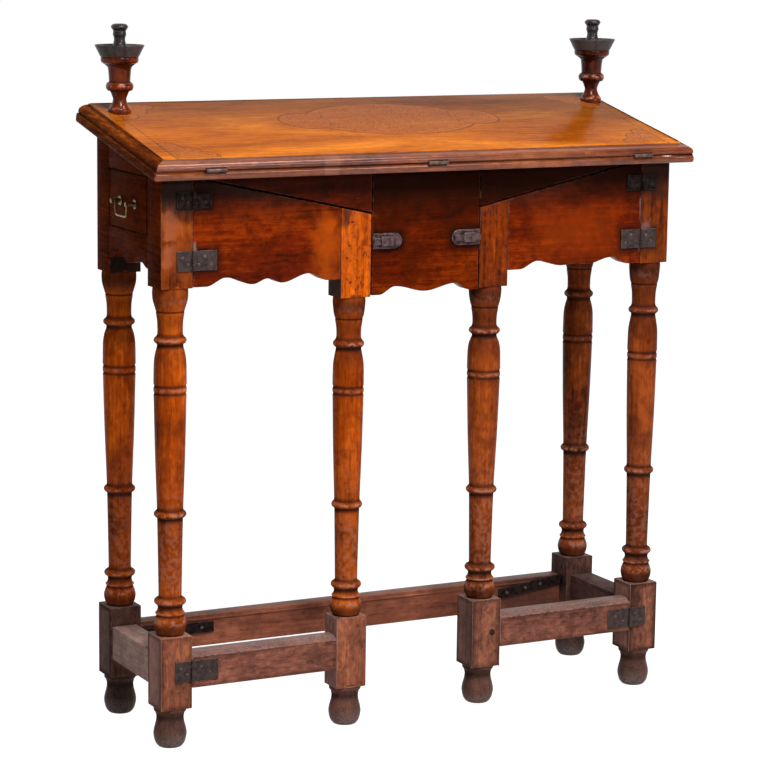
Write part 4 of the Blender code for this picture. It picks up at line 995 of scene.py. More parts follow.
def spun(outline: Outline, centre: Vector, steps: int = TURNED_STEPS) -> bmesh.types.BMesh:
    """Turned body from an outline of radius and height that starts and ends on the axis.

    Args:
        outline: radius and height of each point.
        centre: foot of the axis.
        steps: number of sides.

    Returns:
        The closed mesh.
    """
    bm = new_mesh()
    verts = [bm.verts.new((radius, 0.0, height)) for radius, height in outline]
    edges = [bm.edges.new(pair) for pair in zip(verts, verts[1:])]
    bmesh.ops.spin(
        bm, geom=verts + edges, cent=(0, 0, 0), axis=(0, 0, 1), angle=2 * math.pi, steps=steps,
        use_merge=True)
    bmesh.ops.remove_doubles(bm, verts=bm.verts, dist=MERGE)
    bmesh.ops.recalc_face_normals(bm, faces=bm.faces)
    bmesh.ops.translate(bm, verts=bm.verts, vec=centre)
    return bm


def rod(place: Matrix, radius: float, length: float, sides: int) -> bmesh.types.BMesh:
    """Closed round rod.

    Args:
        place: turn and middle of the rod, which stands upright before it.
        radius: its radius.
        length: its length.
        sides: number of sides.

    Returns:
        The closed mesh.
    """
    bm = new_mesh()
    bmesh.ops.create_cone(
        bm, cap_ends=True, segments=sides, radius1=radius, radius2=radius, depth=length, matrix=place)
    return bm


def lying(place: Sequence[float], axis: Axis) -> Matrix:
    """Turn that lays an upright piece about an axis by a quarter, at a place."""
    return Matrix.Translation(place) @ Matrix.Rotation(QUARTER_TURN, 4, axis.name)


def cut_off(
        bm: bmesh.types.BMesh, place: Sequence[float], outward: Sequence[float]) -> list[bmesh.types.BMEdge]:
    """Cut away the part of a mesh beyond a plane.

    Args:
        bm: mesh to cut.
        place: point on the plane.
        outward: direction of the part that goes.

    Returns:
        The edges of the open rim.
    """
    cut = bmesh.ops.bisect_plane(
        bm, geom=[*bm.verts, *bm.edges, *bm.faces], dist=MERGE, plane_co=place, plane_no=outward,
        clear_outer=True)
    return [item for item in cut["geom_cut"] if isinstance(item, bmesh.types.BMEdge)]


def resampled(outline: Outline, step: float) -> Outline:
    """Outline with points added so that none are further apart than a step.

    Args:
        outline: points to start from.
        step: longest part allowed.

    Returns:
        The points of the finer outline.
    """
    points = [outline[0]]
    for start, end in zip(outline, outline[1:]):
        count = max(1, math.ceil(math.dist(start, end) / step))
        points += [
            tuple(a + (b - a) * k / count for a, b in zip(start, end)) for k in range(1, count + 1)]
    return points


def flowing(points: Outline, steps: int = 6) -> Outline:
    """Smooth curve through points.

    Args:
        points: points that the curve passes.
        steps: parts between two points.

    Returns:
        The points of the curve.
    """
    padded = [points[0], *points, points[-1]]
    curve = [points[0]]
    for before, start, end, after in zip(padded, padded[1:], padded[2:], padded[3:]):
        for k in range(1, steps + 1):
            t = k / steps
            weights = (
                -0.5 * t + t * t - 0.5 * t ** 3, 1 - 2.5 * t * t + 1.5 * t ** 3,
                0.5 * t + 2 * t * t - 1.5 * t ** 3, -0.5 * t * t + 0.5 * t ** 3)
            curve.append(tuple(
                sum(w * p[i] for w, p in zip(weights, (before, start, end, after))) for i in range(2)))
    return curve


def bead(
        height: float, half: float, waist: float, crown: float, keen: float = 1.0,
        steps: int = 14) -> Outline:
    """Outline of a turned bead from top to bottom.

    Args:
        height: height of its middle.
        half: half of its height.
        waist: radius at its top and bottom.
        crown: radius at its middle.
        keen: sharpness of its edge, 1 for a round one.
        steps: parts of the outline.

    Returns:
        The points of the outline.
    """
    turns = [math.pi * k / steps for k in range(steps + 1)]
    swell = crown - waist
    return [(waist + swell * max(0.0, math.sin(t)) ** keen, height + half * math.cos(t)) for t in turns]


def mark(bm: bmesh.types.BMesh, layer: Layer, rings: Sequence[Ring]) -> None:
    """Mark rings in a vertex layer at each height of a turned body, for grime and painted shade, and for wear and
    painted highlights.

    Args:
        bm: mesh of the body.
        layer: what is marked.
        rings: height, half width and strength of each ring.
    """
    values = bm.verts.layers.float[layer.value]
    for vert in bm.verts:
        vert[values] = max(power * math.exp(-(((vert.co.z - z) / wide) ** 2)) for z, wide, power in rings)


@dataclass
class Piece:
    """A finished piece of the table and what it stands for."""

    name: str
    body: str
    slot: str
    nodes: tuple[str, ...] = ()

    def add(self, bm: bmesh.types.BMesh, *finishes: Finish) -> None:
        """Put the piece into the scene.

        Args:
            bm: its mesh, which is freed.
            finishes: its finishes, in the order of its faces' material numbers.
        """
        mesh = bpy.data.meshes.new(self.name)
        bm.to_mesh(mesh)
        bm.free()
        for finish in finishes:
            mesh.materials.append(finish.material())
        mesh.shade_smooth()
        mesh.set_sharp_from_angle(angle=SMOOTH_ANGLE)
        piece = bpy.data.objects.new(self.name, mesh)
        bpy.context.scene.collection.objects.link(piece)
        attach(piece, self.body)
        if self.nodes:
            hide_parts(*self.nodes)
        LOG.info("%s rides on %s with %d faces", self.name, self.body, len(mesh.polygons))


def body_of(node: str) -> str:
    """Name of the body that a CAD node belongs to."""
    bodies = frame["record"]["behaviour"]["bodies"]
    return next(body for body, nodes in bodies.items() if node in nodes)


def slot_of(node: str) -> str:
    """Material slot of a CAD node."""
    return next(part["material_slot"] for part in frame["record"]["subparts"] if part["node"] == node)


def stand_in(node: str, ending: str) -> Piece:
    """Piece that takes the place of one CAD node."""
    return Piece(f"{node}_{ending}", body_of(node), slot_of(node), (node,))


def dress_copy(node: str, finish: Finish, width: float, shortest: float) -> None:
    """Put a softened copy of a CAD node into the scene in one finish.

    Args:
        node: name of the node that the piece stands for.
        finish: its finish.
        width: width of its rounded edges.
        shortest: edges shorter than this stay sharp.
    """
    bm = merged_copy(node)
    soften(bm, width, shortest)
    stand_in(node, "dressed").add(bm, finish)


@dataclass
class TurnedLeg:
    """A leg with square blocks above and below a turned shaft, and a ball foot."""

    node: str
    finishes: tuple[Finish, ...]
    bell: float = 0.0220
    bead: float = 0.0213
    belly: float = 0.0216
    foot_rise: float = 0.0
    block_base: float = 0.618
    low_top: float = 0.1535
    low_base: float = 0.054
    ring_share: float = 0.709
    upper_share: float = 0.851
    middle_share: float = 0.352
    lower_share: float = 0.098
    bell_share: float = 0.934
    reel_share: float = 0.078
    fillet_share: float = 0.0630
    fillet_half: float = 0.0017
    ring_steps: Point = (0.0115, -0.0095)
    ring_depth: float = 0.0008
    ring_half: Point = (0.0024, 0.0013)
    bell_foot: float = 0.0192
    neck: float = 0.0170
    bead_half: float = 0.0047
    taper_foot: float = 0.0175
    shaft_foot: float = 0.0154
    ball_neck: float = 0.0166
    ball: float = 0.0218
    root: float = 0.004
    foot_ring: float = 0.0220
    foot_ball: float = 0.0222
    # rubbed rings are wear with painted highlights on crowns and ball; soiled rings are grime with painted shade
    # in hollows and joints
    crown_rub_and_sheen: Point = (0.55, 0.9)
    band_rub: Ring = (0.001, 0.0028, 0.5)
    fillet_rub: Point = (0.0012, 0.8)
    scuffs_and_sheen: tuple[Ring, ...] = ((0.040, 0.0050, 0.75), (0.20, 0.0900, 0.34), (0.965, 0.0060, 0.40))
    soil_and_shade: tuple[Ring, ...] = (
        (0.905, 0.0140, 0.48), (0.812, 0.0150, 0.40), (0.22, 0.085, 0.34), (0.018, 0.0110, 0.80),
        (0.078, 0.0040, 0.75), (0.056, 0.0022, 0.85))
    bell_soil_and_shade: Point = (0.975, 0.018)
    bead_soil_and_shade: tuple[Ring, ...] = ((1.35, 0.0036, 0.80), (-1.35, 0.0052, 1.0))
    ring_soil_and_shade: Point = (0.0022, 0.9)
    joint_soil_and_shade: tuple[Ring, ...] = (
        (-0.0008, 0.0018, 1.0), (0.001, 0.0030, 1.0), (0.0, 0.0022, 0.9), (-0.0125, 0.0050, 0.7))
    sample: float = 0.0025
    trace: float = 0.0001
    shortest: float = 0.004
    edge_width: float = 0.0011
    rim_width: float = 0.010
    rim_darkening: float = 0.62
    bell_grime_and_shade: float = 0.62
    square: float = 0.045
    cad_top: float = 0.618
    cad_low: Point = (0.054, 0.1535)

    def at(self, share: float) -> float:
        """Height at a share of the turned length."""
        return self.low_top + share * (self.block_base - self.low_top)

    def beads(self) -> tuple[float, float, float]:
        """Shares of the turned length at the upper, the middle and the lower bead."""
        return self.upper_share, self.middle_share, self.lower_share

    def bell_outline(self) -> Outline:
        """Outline of the cup under the top block and the neck below it.

        Returns:
            Radius and height of each point.
        """
        top, foot, upper = self.block_base, self.at(self.bell_share), self.at(self.upper_share)
        cup = flowing([
            (self.bell - 0.0006, top), (self.bell, top - 0.006), (self.bell - 0.0007, self.at(0.965)),
            (self.bell_foot + 0.0010, self.at(0.944)), (self.bell_foot - 0.0004, foot)])
        neck = flowing([
            (self.bell_foot - 0.0012, foot - 0.0008), (self.bell_foot - 0.0006, foot - 0.0028),
            (self.neck, self.at(0.903)), (self.neck - 0.0002, upper + 1.9 * self.bead_half),
            (self.neck + 0.0012, upper + 1.08 * self.bead_half)])
        return [(0.0, top + self.root), (self.bell - 0.0012, top + self.root), *cup, *neck]

    def belly_outline(self) -> Outline:
        """Outline of the swelling shaft between the upper and the middle bead.

        Returns:
            Radius and height of each point.
        """
        upper, middle, half = self.at(self.upper_share), self.at(self.middle_share), self.bead_half
        swelling = flowing([
            (self.neck + 0.0004, upper - 1.15 * half), (self.neck + 0.0005, upper - 1.9 * half),
            (self.belly - 0.0022, upper - 3.8 * half), (self.belly - 0.0005, upper - 6.5 * half),
            (self.belly, self.at(self.ring_share + 0.02))])
        rings = [
            point for step in self.ring_steps
            for point in self.incised(self.at(self.ring_share + step), self.belly - 0.0001)]
        taper = flowing([
            (self.belly - 0.0003, self.at(self.ring_share - 0.017)),
            ((self.belly + self.taper_foot) / 2 + 0.0003, (self.at(self.ring_share) + middle) / 2),
            (self.taper_foot, middle + 1.8 * half), (self.taper_foot + 0.0006, middle + 1.1 * half)])
        return swelling + rings + taper

    def outline(self) -> Outline:
        """Outline of the turned shaft from the top block down.

        Returns:
            Radius and height of each point.
        """
        half, neck, ball = self.bead_half, self.ball_neck, self.ball
        upper, middle, lower = (self.at(share) for share in self.beads())
        shaft = flowing([
            (self.neck + 0.0004, middle - 1.1 * half), (self.neck, middle - 2.0 * half),
            (self.shaft_foot, lower + 2.0 * half), (self.shaft_foot + 0.0010, lower + 1.1 * half)])
        reel = flowing([
            (neck + 0.0006, lower - 1.1 * half), (neck - 0.0002, self.at(self.reel_share)),
            (neck + 0.0010, self.at(0.068))])
        base = flowing([
            (neck + 0.0012, self.at(0.0575)), (ball - 0.0016, self.at(0.046)), (ball, self.at(0.031)),
            (ball - 0.0011, self.at(0.014)), (ball - 0.0036, self.at(0.002))])
        return [
            *self.bell_outline(),
            *bead(upper, half, self.neck + 0.0008, self.bead, 1.5),
            *self.belly_outline(),
            *bead(middle, half, self.neck + 0.0006, self.bead, 1.5),
            *shaft,
            *bead(lower, half, neck + 0.0004, self.bead - 0.0003, 1.4),
            *reel,
            *bead(self.at(self.fillet_share), self.fillet_half, neck + 0.0010, neck + 0.0030, 1.2),
            *base, (neck, self.low_top - self.root), (0.0, self.low_top - self.root)]

    def incised(self, height: float, radius: float) -> Outline:
        """Shallow turned groove across a shaft."""
        deep, (wide, narrow) = radius - self.ring_depth, self.ring_half
        return [
            (radius, height + wide), (deep, height + narrow),
            (deep, height - narrow), (radius, height - wide)]

    def foot_outline(self) -> Outline:
        """Outline of the foot below the low block.

        Returns:
            Radius and height of each point.
        """
        ring, base = self.foot_ring, self.low_base - self.foot_rise
        pot = flowing([
            (ring - 0.0016, base - 0.0052), (0.0184, base - 0.0125), (0.0190, base - 0.0200),
            (self.foot_ball - 0.0008, 0.0245), (self.foot_ball, 0.0165), (self.foot_ball - 0.0022, 0.0065),
            (0.0160, 0.0008), (0.0135, 0.0)])
        points = [
            (0.0, base + self.root), (ring - 0.001, base + self.root),
            *bead(base - 0.0026, 0.0026, ring - 0.0012, ring, 0.8, 8), *pot, (0.0, 0.0)]
        return [(radius, height + self.foot_rise) for radius, height in points]

    def rubbed(self) -> list[Ring]:
        """Height, half width and strength of each ring that hands and cloths have rubbed, with painted highlights
        on crowns and ball.

        Returns:
            The rings.
        """
        share, strength = self.crown_rub_and_sheen
        lift, *band = self.band_rub
        rings = [(spot, share * self.bead_half, strength) for spot in self.beads()]
        rings += [(self.ring_share + lift, *band), (self.fillet_share, *self.fillet_rub), *self.scuffs_and_sheen]
        return [(self.at(spot), wide, power) for spot, wide, power in rings]

    def grime(self) -> list[Ring]:
        """Height, half width and strength of each dark ring: grime, and painted shade in the hollows by the beads
        and at the joints.

        Returns:
            The rings.
        """
        rings = [(self.at(spot), wide, power) for spot, wide, power in (
            *self.soil_and_shade, (*self.bell_soil_and_shade, self.bell_grime_and_shade))]
        for share in self.beads():
            rings += [
                (self.at(share) + lift * self.bead_half, wide, power)
                for lift, wide, power in self.bead_soil_and_shade]
        rings += [(self.at(self.ring_share + step), *self.ring_soil_and_shade) for step in self.ring_steps]
        joints = (self.at(self.bell_share), self.low_top, self.block_base, self.low_base)
        return rings + [
            (height + lift, wide, power) for height, (lift, wide, power) in zip(joints, self.joint_soil_and_shade)]

    def slice(self, low: float, high: float) -> bmesh.types.BMesh:
        """Part of the CAD leg between two heights, closed.

        Args:
            low: lower cut.
            high: upper cut.

        Returns:
            The closed mesh of the block.
        """
        bm = merged_copy(self.node)
        for height, up in ((low, -1.0), (high, 1.0)):
            rim = cut_off(bm, (0, 0, height), (0, 0, up))
            if rim:
                bmesh.ops.contextual_create(bm, geom=rim)
        bmesh.ops.recalc_face_normals(bm, faces=bm.faces)
        return bm

    def blocks(self, head: float) -> list[bmesh.types.BMesh]:
        """Square blocks above and below the shaft, moved to their own heights and softened.

        Args:
            head: top of the leg.

        Returns:
            The meshes of the top and the low block.
        """
        low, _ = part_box(self.node)
        above, below = self.cad_top + self.trace, self.cad_low[1] - self.trace
        top = self.slice(above, head + self.root)
        foot = self.slice(self.cad_low[0] + low.z + self.trace, below)
        for bm, edge, place in ((top, above, self.block_base), (foot, below, self.low_top)):
            for vert in bm.verts:
                if abs(vert.co.z - edge) < self.trace:
                    vert.co.z = place
            soften(bm, self.edge_width, self.shortest)
        darken_rims(foot, self.rim_width, self.rim_darkening)
        return [top, foot]

    def build(self) -> None:
        """Build and dress the leg."""
        low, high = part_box(self.node)
        centre = Vector(((low.x + high.x) / 2, low.y + self.square / 2, 0.0))
        whole = spun(resampled(self.outline(), self.sample), centre)
        foot = spun(resampled(self.foot_outline(), self.sample), centre)
        # dark rings: grime and painted shade; pale rings: wear and painted highlights
        for bm in (whole, foot):
            mark(bm, Layer.GROOVE, self.grime())
        mark(whole, Layer.WEAR, self.rubbed())
        paint(whole, LegFace.SHAFT)
        paint(foot, LegFace.FOOT)
        top_block, low_block = self.blocks(high.z)
        # the top block's sides take a darker finish, partly painted shade; the low block's sides take their own
        # finish
        for block, front, side in (
                (top_block, LegFace.TOP, LegFace.TOP_SIDE), (low_block, LegFace.LOW, LegFace.LOW_SIDE)):
            for face in block.faces:
                face.material_index = side if abs(face.normal.x) > UPRIGHT else front
        absorb(whole, top_block, low_block, foot)
        stand_in(self.node, "turned").add(whole, *self.finishes)


@dataclass
class Top:
    """Sloping fixed board and the moulded leaf folded on it."""

    edge_width: float = 0.0009
    shortest: float = 0.05
    moulding_width: float = 0.0135
    margin: float = 0.003
    gap_reach: float = 0.0006
    quirk: float = 0.0014
    quirk_shade: float = 0.35
    level: float = 0.999
    slack: float = 0.001
    end_tilt: float = 0.2
    mitre_tilt: float = 0.02
    sharp_angle: float = 50.0
    nose: tuple[Ring, ...] = (
        (0.0012, 0.0004, 0.0), (0.0024, 0.0012, 0.0), (0.0034, 0.0023, 0.0), (0.0043, 0.0035, 0.0002),
        (0.0050, 0.0048, 0.0007), (0.0054, 0.0062, 0.0015), (0.0055, 0.0077, 0.0022))

    def sort_faces(self, bm: bmesh.types.BMesh, node: str) -> None:
        """Number the faces of a board as marquetry, front edge, end edges or plain field.

        Args:
            bm: mesh of the board.
            node: CAD node that it was copied from.
        """
        _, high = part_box(node)
        inner = high.x - self.moulding_width
        for face in bm.faces:
            spread = max(abs(vert.co.x) for vert in face.verts)
            sideways, upward = abs(face.normal.x), face.normal.dot(UP_SLOPE)
            plain = upward < 0 or node == "top_board"
            if abs(upward) > self.level and (plain or spread < inner + self.slack):
                face.material_index = TopFace.PLAIN if plain else TopFace.FIELD
            elif sideways > self.end_tilt or (
                    abs(face.calc_center_median().x) > inner and sideways > self.mitre_tilt):
                face.material_index = TopFace.END
            else:
                face.material_index = TopFace.MOULDING

    def round_front(self, bm: bmesh.types.BMesh) -> None:
        """Mould the front of the board into a nose, each step further ahead, lower above and higher below.

        Args:
            bm: mesh of the board.
        """
        forward = Vector((0.0, -UP_SLOPE.z, UP_SLOPE.y))
        start = max(vert.co.dot(forward) for vert in bm.verts) - self.nose[-1][0]
        rim = cut_off(bm, forward * start, forward)
        heights = [vert.co.dot(UP_SLOPE) for edge in rim for vert in edge.verts]
        foot, head = min(heights), max(heights)
        reach, drop, rise = 0.0, 0.0, 0.0
        for ahead, new_drop, new_rise in self.nose:
            made = bmesh.ops.extrude_edge_only(bm, edges=rim)["geom"]
            rim = [item for item in made if isinstance(item, bmesh.types.BMEdge)]
            squeeze = (head - new_drop - foot - new_rise) / (head - drop - foot - rise)
            for vert in (item for item in made if isinstance(item, bmesh.types.BMVert)):
                up = vert.co.dot(UP_SLOPE)
                place = foot + new_rise + (up - foot - rise) * squeeze
                vert.co += forward * (ahead - reach) + UP_SLOPE * (place - up)
            reach, drop, rise = ahead, new_drop, new_rise
        bmesh.ops.contextual_create(bm, geom=rim)
        bmesh.ops.recalc_face_normals(bm, faces=bm.faces)

    def darken_gap(self, bm: bmesh.types.BMesh, upper: bool) -> None:
        """Paint shade along the line where leaf and board meet and along the quirk beside the leaf's field.

        Args:
            bm: mesh of the leaf or the board.
            upper: whether it is the leaf.
        """
        fields = [face for face in bm.faces if face.material_index in (TopFace.FIELD, TopFace.PLAIN)]
        bmesh.ops.inset_region(bm, faces=fields, thickness=self.margin)
        inner = {vert for face in fields for vert in face.verts}
        heights = {vert: vert.co.dot(UP_SLOPE) for vert in bm.verts if vert not in inner}
        foot, head = min(heights.values()), max(heights.values())
        lines = [(foot, 1.0), (head - self.quirk, self.quirk_shade)] if upper else [(head, 1.0)]
        groove = bm.verts.layers.float[Layer.GROOVE.value]
        for vert, height in heights.items():
            near = [power for line, power in lines if abs(height - line) < self.gap_reach]
            vert[groove] = max(near, default=0.0)

    def build(self) -> None:
        """Build and dress board and leaf."""
        finishes = (Palette.field, Palette.moulding, Palette.moulding_end, Palette.inner_field)
        for node in ("top_board", "top_leaf"):
            bm = merged_copy(node)
            if node == "top_board":
                self.round_front(bm)
            self.sort_faces(bm, node)
            soften(bm, self.edge_width, self.shortest, self.sharp_angle)
            self.darken_gap(bm, node == "top_leaf")
            stand_in(node, "polished").add(bm, *finishes)


@dataclass
class Case:
    """Rails, aprons, panels, stretchers and drawer boards, softened at their edges."""

    edge_width: float = 0.0010
    shortest: float = 0.0022
    sag: float = 0.0028
    gate_stretcher_rise: tuple[float, float] = (0.0022, 0.0055)
    rim_width: float = 0.009
    rim_darkening: float = 0.45
    peg_share: float = 0.71
    peg_height: float = 0.1085
    peg_radius: float = 0.0044
    peg_length: float = 0.0016
    peg_sides: int = 20
    peg_round: float = 0.0002
    peg_shortest: float = 0.0005
    bead_radius: float = 0.0016
    bead_drop: float = 0.0065
    bead_gap: float = 0.0006
    bead_sides: int = 12
    cock_bead: float = 0.0020
    cock_bead_rise: float = 0.0009
    cock_bead_gap: float = 0.0001
    cock_bead_round: float = 0.4
    cock_bead_shortest: float = 0.01

    def finishes(self) -> dict[str, Finish]:
        """Finish of each board.

        Returns:
            The finishes by node.
        """
        # dark is the shaded copy of the front: painted shade on the centre panel and the right wedge
        front, dark, side = Palette.front_case, Palette.front_shaded, Palette.side_case
        return {
            "back_rail": Palette.back_case, "front_rail": front, "centre_panel": dark,
            "left_wedge": Palette.front_wedge, "right_wedge": dark,
            "gate_left_apron": front, "gate_right_apron": front,
            "left_upper_rail": side, "left_apron": side, "right_side_rail": side, "drawer_front": side,
            "left_stretcher": Palette.side_stretcher, "right_stretcher": Palette.inner_stretcher,
            "drawer_bearer": Palette.oak, "drawer_side_front": Palette.oak, "drawer_side_back": Palette.oak,
            "drawer_back": Palette.oak, "drawer_bottom": Palette.oak,
        }

    def build_back_stretcher(self) -> None:
        """Back stretcher with a sunk lower edge and a bead along its inner face."""
        bm = merged_copy("back_stretcher")
        low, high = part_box("back_stretcher")
        for vert in bm.verts:
            if vert.co.z < low.z + MERGE:
                vert.co.z -= self.sag
        soften(bm, self.edge_width, self.shortest)
        stand_in("back_stretcher", "dressed").add(bm, Palette.back_stretcher)
        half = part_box("leg_back_right")[0].x - self.bead_gap
        place = lying((0.0, low.y, high.z - self.bead_drop), Axis.Y)
        strip = rod(place, self.bead_radius, 2 * half, self.bead_sides)
        Piece("back_stretcher_bead", "frame", "walnut_legs").add(strip, Palette.back_stretcher)

    def build_gate_stretchers(self) -> None:
        """Gate stretchers, each with its upper edge at its own height."""
        for side, rise in zip(Side, self.gate_stretcher_rise):
            node = f"gate_{side.value}_stretcher"
            low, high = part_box(node)
            bm = merged_copy(node)
            for vert in bm.verts:
                if vert.co.z > (low.z + high.z) / 2:
                    vert.co.z += rise
            soften(bm, self.edge_width, self.shortest)
            darken_rims(bm, self.rim_width, self.rim_darkening)
            stand_in(node, "dressed").add(bm, Palette.stretcher)

    def build_peg(self) -> None:
        """Dark peg end in the front of the right gate's low block."""
        low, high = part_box("gate_right_leg")
        place = (low.x + self.peg_share * (high.x - low.x), low.y, self.peg_height)
        bm = rod(lying(place, Axis.X), self.peg_radius, self.peg_length, self.peg_sides)
        soften(bm, self.peg_round, self.peg_shortest)
        Piece("gate_right_peg", "gate_right", "walnut_legs").add(bm, Palette.grubby_and_shaded)

    def build_cock_bead(self) -> None:
        """Thin bead round the drawer front, in a dark finish that paints the shade in the gap round the drawer."""
        low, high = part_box("drawer_front")
        bm = new_mesh()
        corners = [(low.y, low.z), (low.y, high.z), (high.y, high.z), (high.y, low.z)]
        face = bm.faces.new([bm.verts.new((low.x - self.cock_bead_gap, y, z)) for y, z in corners])
        inner = bmesh.ops.inset_region(bm, faces=[face], thickness=self.cock_bead, use_boundary=True)
        bmesh.ops.delete(bm, geom=[face], context="FACES")
        rim = bmesh.ops.extrude_face_region(bm, geom=inner["faces"])
        raised = [item for item in rim["geom"] if isinstance(item, bmesh.types.BMVert)]
        bmesh.ops.translate(bm, verts=raised, vec=(-self.cock_bead_rise, 0, 0))
        bmesh.ops.recalc_face_normals(bm, faces=bm.faces)
        soften(bm, self.cock_bead_rise * self.cock_bead_round, self.cock_bead_shortest)
        Piece("drawer_cock_bead", "drawer", "walnut_case").add(bm, Palette.grubby_and_shaded)

    def build(self) -> None:
        """Build and dress every board."""
        for node, finish in self.finishes().items():
            dress_copy(node, finish, self.edge_width, self.shortest)
        self.build_back_stretcher()
        self.build_gate_stretchers()
        self.build_peg()
        self.build_cock_bead()


@dataclass
class Ironwork:
    """Hinges, brackets, bolts and their nails."""

    edge_width: float = 0.0004
    shortest: float = 0.0020
    nail_radius: float = 0.0024
    nail_rise: float = 0.0011
    nail_root: float = 0.0006
    nail_steps: int = 5
    nail_sides: int = 14
    nail_wear: float = 0.35
    plate: float = 0.0020
    bracket: float = 0.0030
    slant: float = math.radians(7.5)
    bracket_rise: float = 0.005
    left_reach: float = 0.010
    bolt_plate: float = 0.0025
    bolt_gap: float = 0.0003
    bolt_nail: Point = (0.86, 0.006)
    ridge_radius: float = 0.0011
    ridge_share: float = 0.62
    ridge_start: float = 0.001
    ridge_inset: float = 0.0022
    ridge_sides: int = 12
    bracket_nails: tuple[tuple[float, ...], ...] = ((0.40, 0.92), (0.34, 0.58, 0.88))
    hinge_nails: tuple[Point, ...] = ((0.30, 0.66), (0.66, 0.34))
    wide_nails: tuple[Point, ...] = ((0.22, 0.30), (0.48, 0.70), (0.74, 0.32))

    @staticmethod
    def finish(node: str) -> Finish:
        """Finish of an iron node.

        Args:
            node: name of the node.

        Returns:
            The finish.
        """
        if node.startswith("leaf_hinge"):
            return Palette.hinge_iron
        if node.startswith("bolt"):
            return Palette.bolt_iron
        # the upper hinges under the overhanging top take the dark iron as painted shade
        return Palette.iron_dark if "upper" in node else Palette.iron

    def nodes(self) -> list[str]:
        """Iron nodes of the frame."""
        subparts = frame["record"]["subparts"]
        return [part["node"] for part in subparts if part["material_slot"] == "wrought_iron"]

    def nail(self, place: Vector) -> bmesh.types.BMesh:
        """Domed nail head that faces the front.

        Args:
            place: point on the plate.

        Returns:
            The closed mesh.
        """
        size, root = self.nail_radius, -self.nail_root
        turns = [QUARTER_TURN * k / self.nail_steps for k in range(self.nail_steps + 1)]
        dome = [(size * math.cos(turn), self.nail_rise * math.sin(turn)) for turn in turns]
        bm = spun([(0.0, root), (size, root), *dome], Vector((0, 0, 0)), self.nail_sides)
        bmesh.ops.transform(bm, matrix=lying(place, Axis.X), verts=bm.verts)
        wear = bm.verts.layers.float[Layer.WEAR.value]
        for vert in bm.verts:
            vert[wear] = self.nail_wear
        return bm

    def build_nails(self, node: str, low: Vector, high: Vector, shares: Iterable[Point]) -> None:
        """Nails on a plate.

        Args:
            node: CAD node of the plate.
            low: lower left corner of the nailed face.
            high: upper right corner of the nailed face.
            shares: place of each nail as a share of the face's width and height.
        """
        heads = [
            self.nail(Vector((low.x + (high.x - low.x) * along, low.y, low.z + (high.z - low.z) * up)))
            for along, up in shares]
        Piece(f"{node}_nails", body_of(node), "wrought_iron").add(absorb(*heads), self.finish(node))

    def nail_hinges(self) -> None:
        """Nail every half of the gate hinges."""
        for node in self.nodes():
            if not node.startswith("gate_hinge"):
                continue
            low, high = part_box(node)
            front = high.y - self.plate
            pin = joint_x(node)
            start, end = (low.x, pin) if (low.x + high.x) / 2 < pin else (pin, high.x)
            shares = self.wide_nails if node.endswith("lower_moving") else self.hinge_nails
            self.build_nails(node, Vector((start, front, low.z)), Vector((end, front, high.z)), shares)

    def build_brackets(self) -> None:
        """Corner brackets inside the back stretcher, the right one nailed aslant."""
        for side, sign, spots in zip(Side, (-1.0, 1.0), self.bracket_nails):
            node = f"corner_bracket_{side.value}"
            low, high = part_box(node)
            root = high.x if sign > 0 else low.x
            bm = merged_copy(node)
            turn = math.tan(self.slant) if sign > 0 else 0.0
            lift = (high.x - low.x) / 2 * turn + (self.bracket_rise if sign > 0 else 0.0)
            for vert in bm.verts:
                vert.co.z += lift - abs(vert.co.x - root) * turn
                if sign < 0 and vert.co.x > (low.x + high.x) / 2:
                    vert.co.x += self.left_reach
            soften(bm, self.edge_width, self.shortest)
            stand_in(node, "dressed").add(bm, Palette.iron_dark)
            reach = high.x - low.x
            heads = []
            for spot in spots:
                height = (low.z + high.z) / 2 + lift - spot * reach * turn
                heads.append(self.nail(Vector((root - sign * spot * reach, high.y - self.bracket, height))))
            Piece(f"{node}_nails", "frame", "wrought_iron").add(absorb(*heads), Palette.iron)

    def build_bolt_plates(self) -> None:
        """Ridges along the bolt plates and a nail in each round end."""
        for side, sign in zip(Side, (1.0, -1.0)):
            node = f"bolt_plate_{side.value}"
            low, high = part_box(node)
            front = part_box("centre_panel")[0].y - self.bolt_gap - self.bolt_plate
            length = (high.x - low.x) * self.ridge_share
            start = low.x if sign > 0 else high.x
            middle = start + sign * (self.ridge_start + length / 2)
            ridges = [
                rod(lying((middle, front, height), Axis.Y), self.ridge_radius, length, self.ridge_sides)
                for height in (low.z + self.ridge_inset, high.z - self.ridge_inset)]
            share, rise = self.bolt_nail
            nail = self.nail(Vector((start + sign * (high.x - low.x) * share, front, low.z + rise)))
            Piece(f"{node}_ridges", "frame", "wrought_iron").add(absorb(*ridges, nail), Palette.bolt_iron)

    def build(self) -> None:
        """Build and dress the ironwork."""
        for node in self.nodes():
            if node.startswith("corner_bracket"):
                continue
            dress_copy(node, self.finish(node), self.edge_width, self.shortest)
        self.nail_hinges()
        self.build_brackets()
        self.build_bolt_plates()


def joint_x(node: str) -> float:
    """Place along the front of the gate pin that a hinge half turns on."""
    swing = next(f"gate_{side.value}_swing" for side in Side if side.value in node)
    return next(joint["pos_m"][0] for joint in frame["joints"] if joint["name"] == swing)


@dataclass
class DrawerHandle:
    """Brass posts and the bail that hangs between them."""

    edge_width: float = 0.0003
    shortest: float = 0.0008

    def build(self) -> None:
        """Build and dress the handle."""
        for node in ("handle_post_front", "handle_post_back", "drawer_bail"):
            dress_copy(node, Palette.brass, self.edge_width, self.shortest)


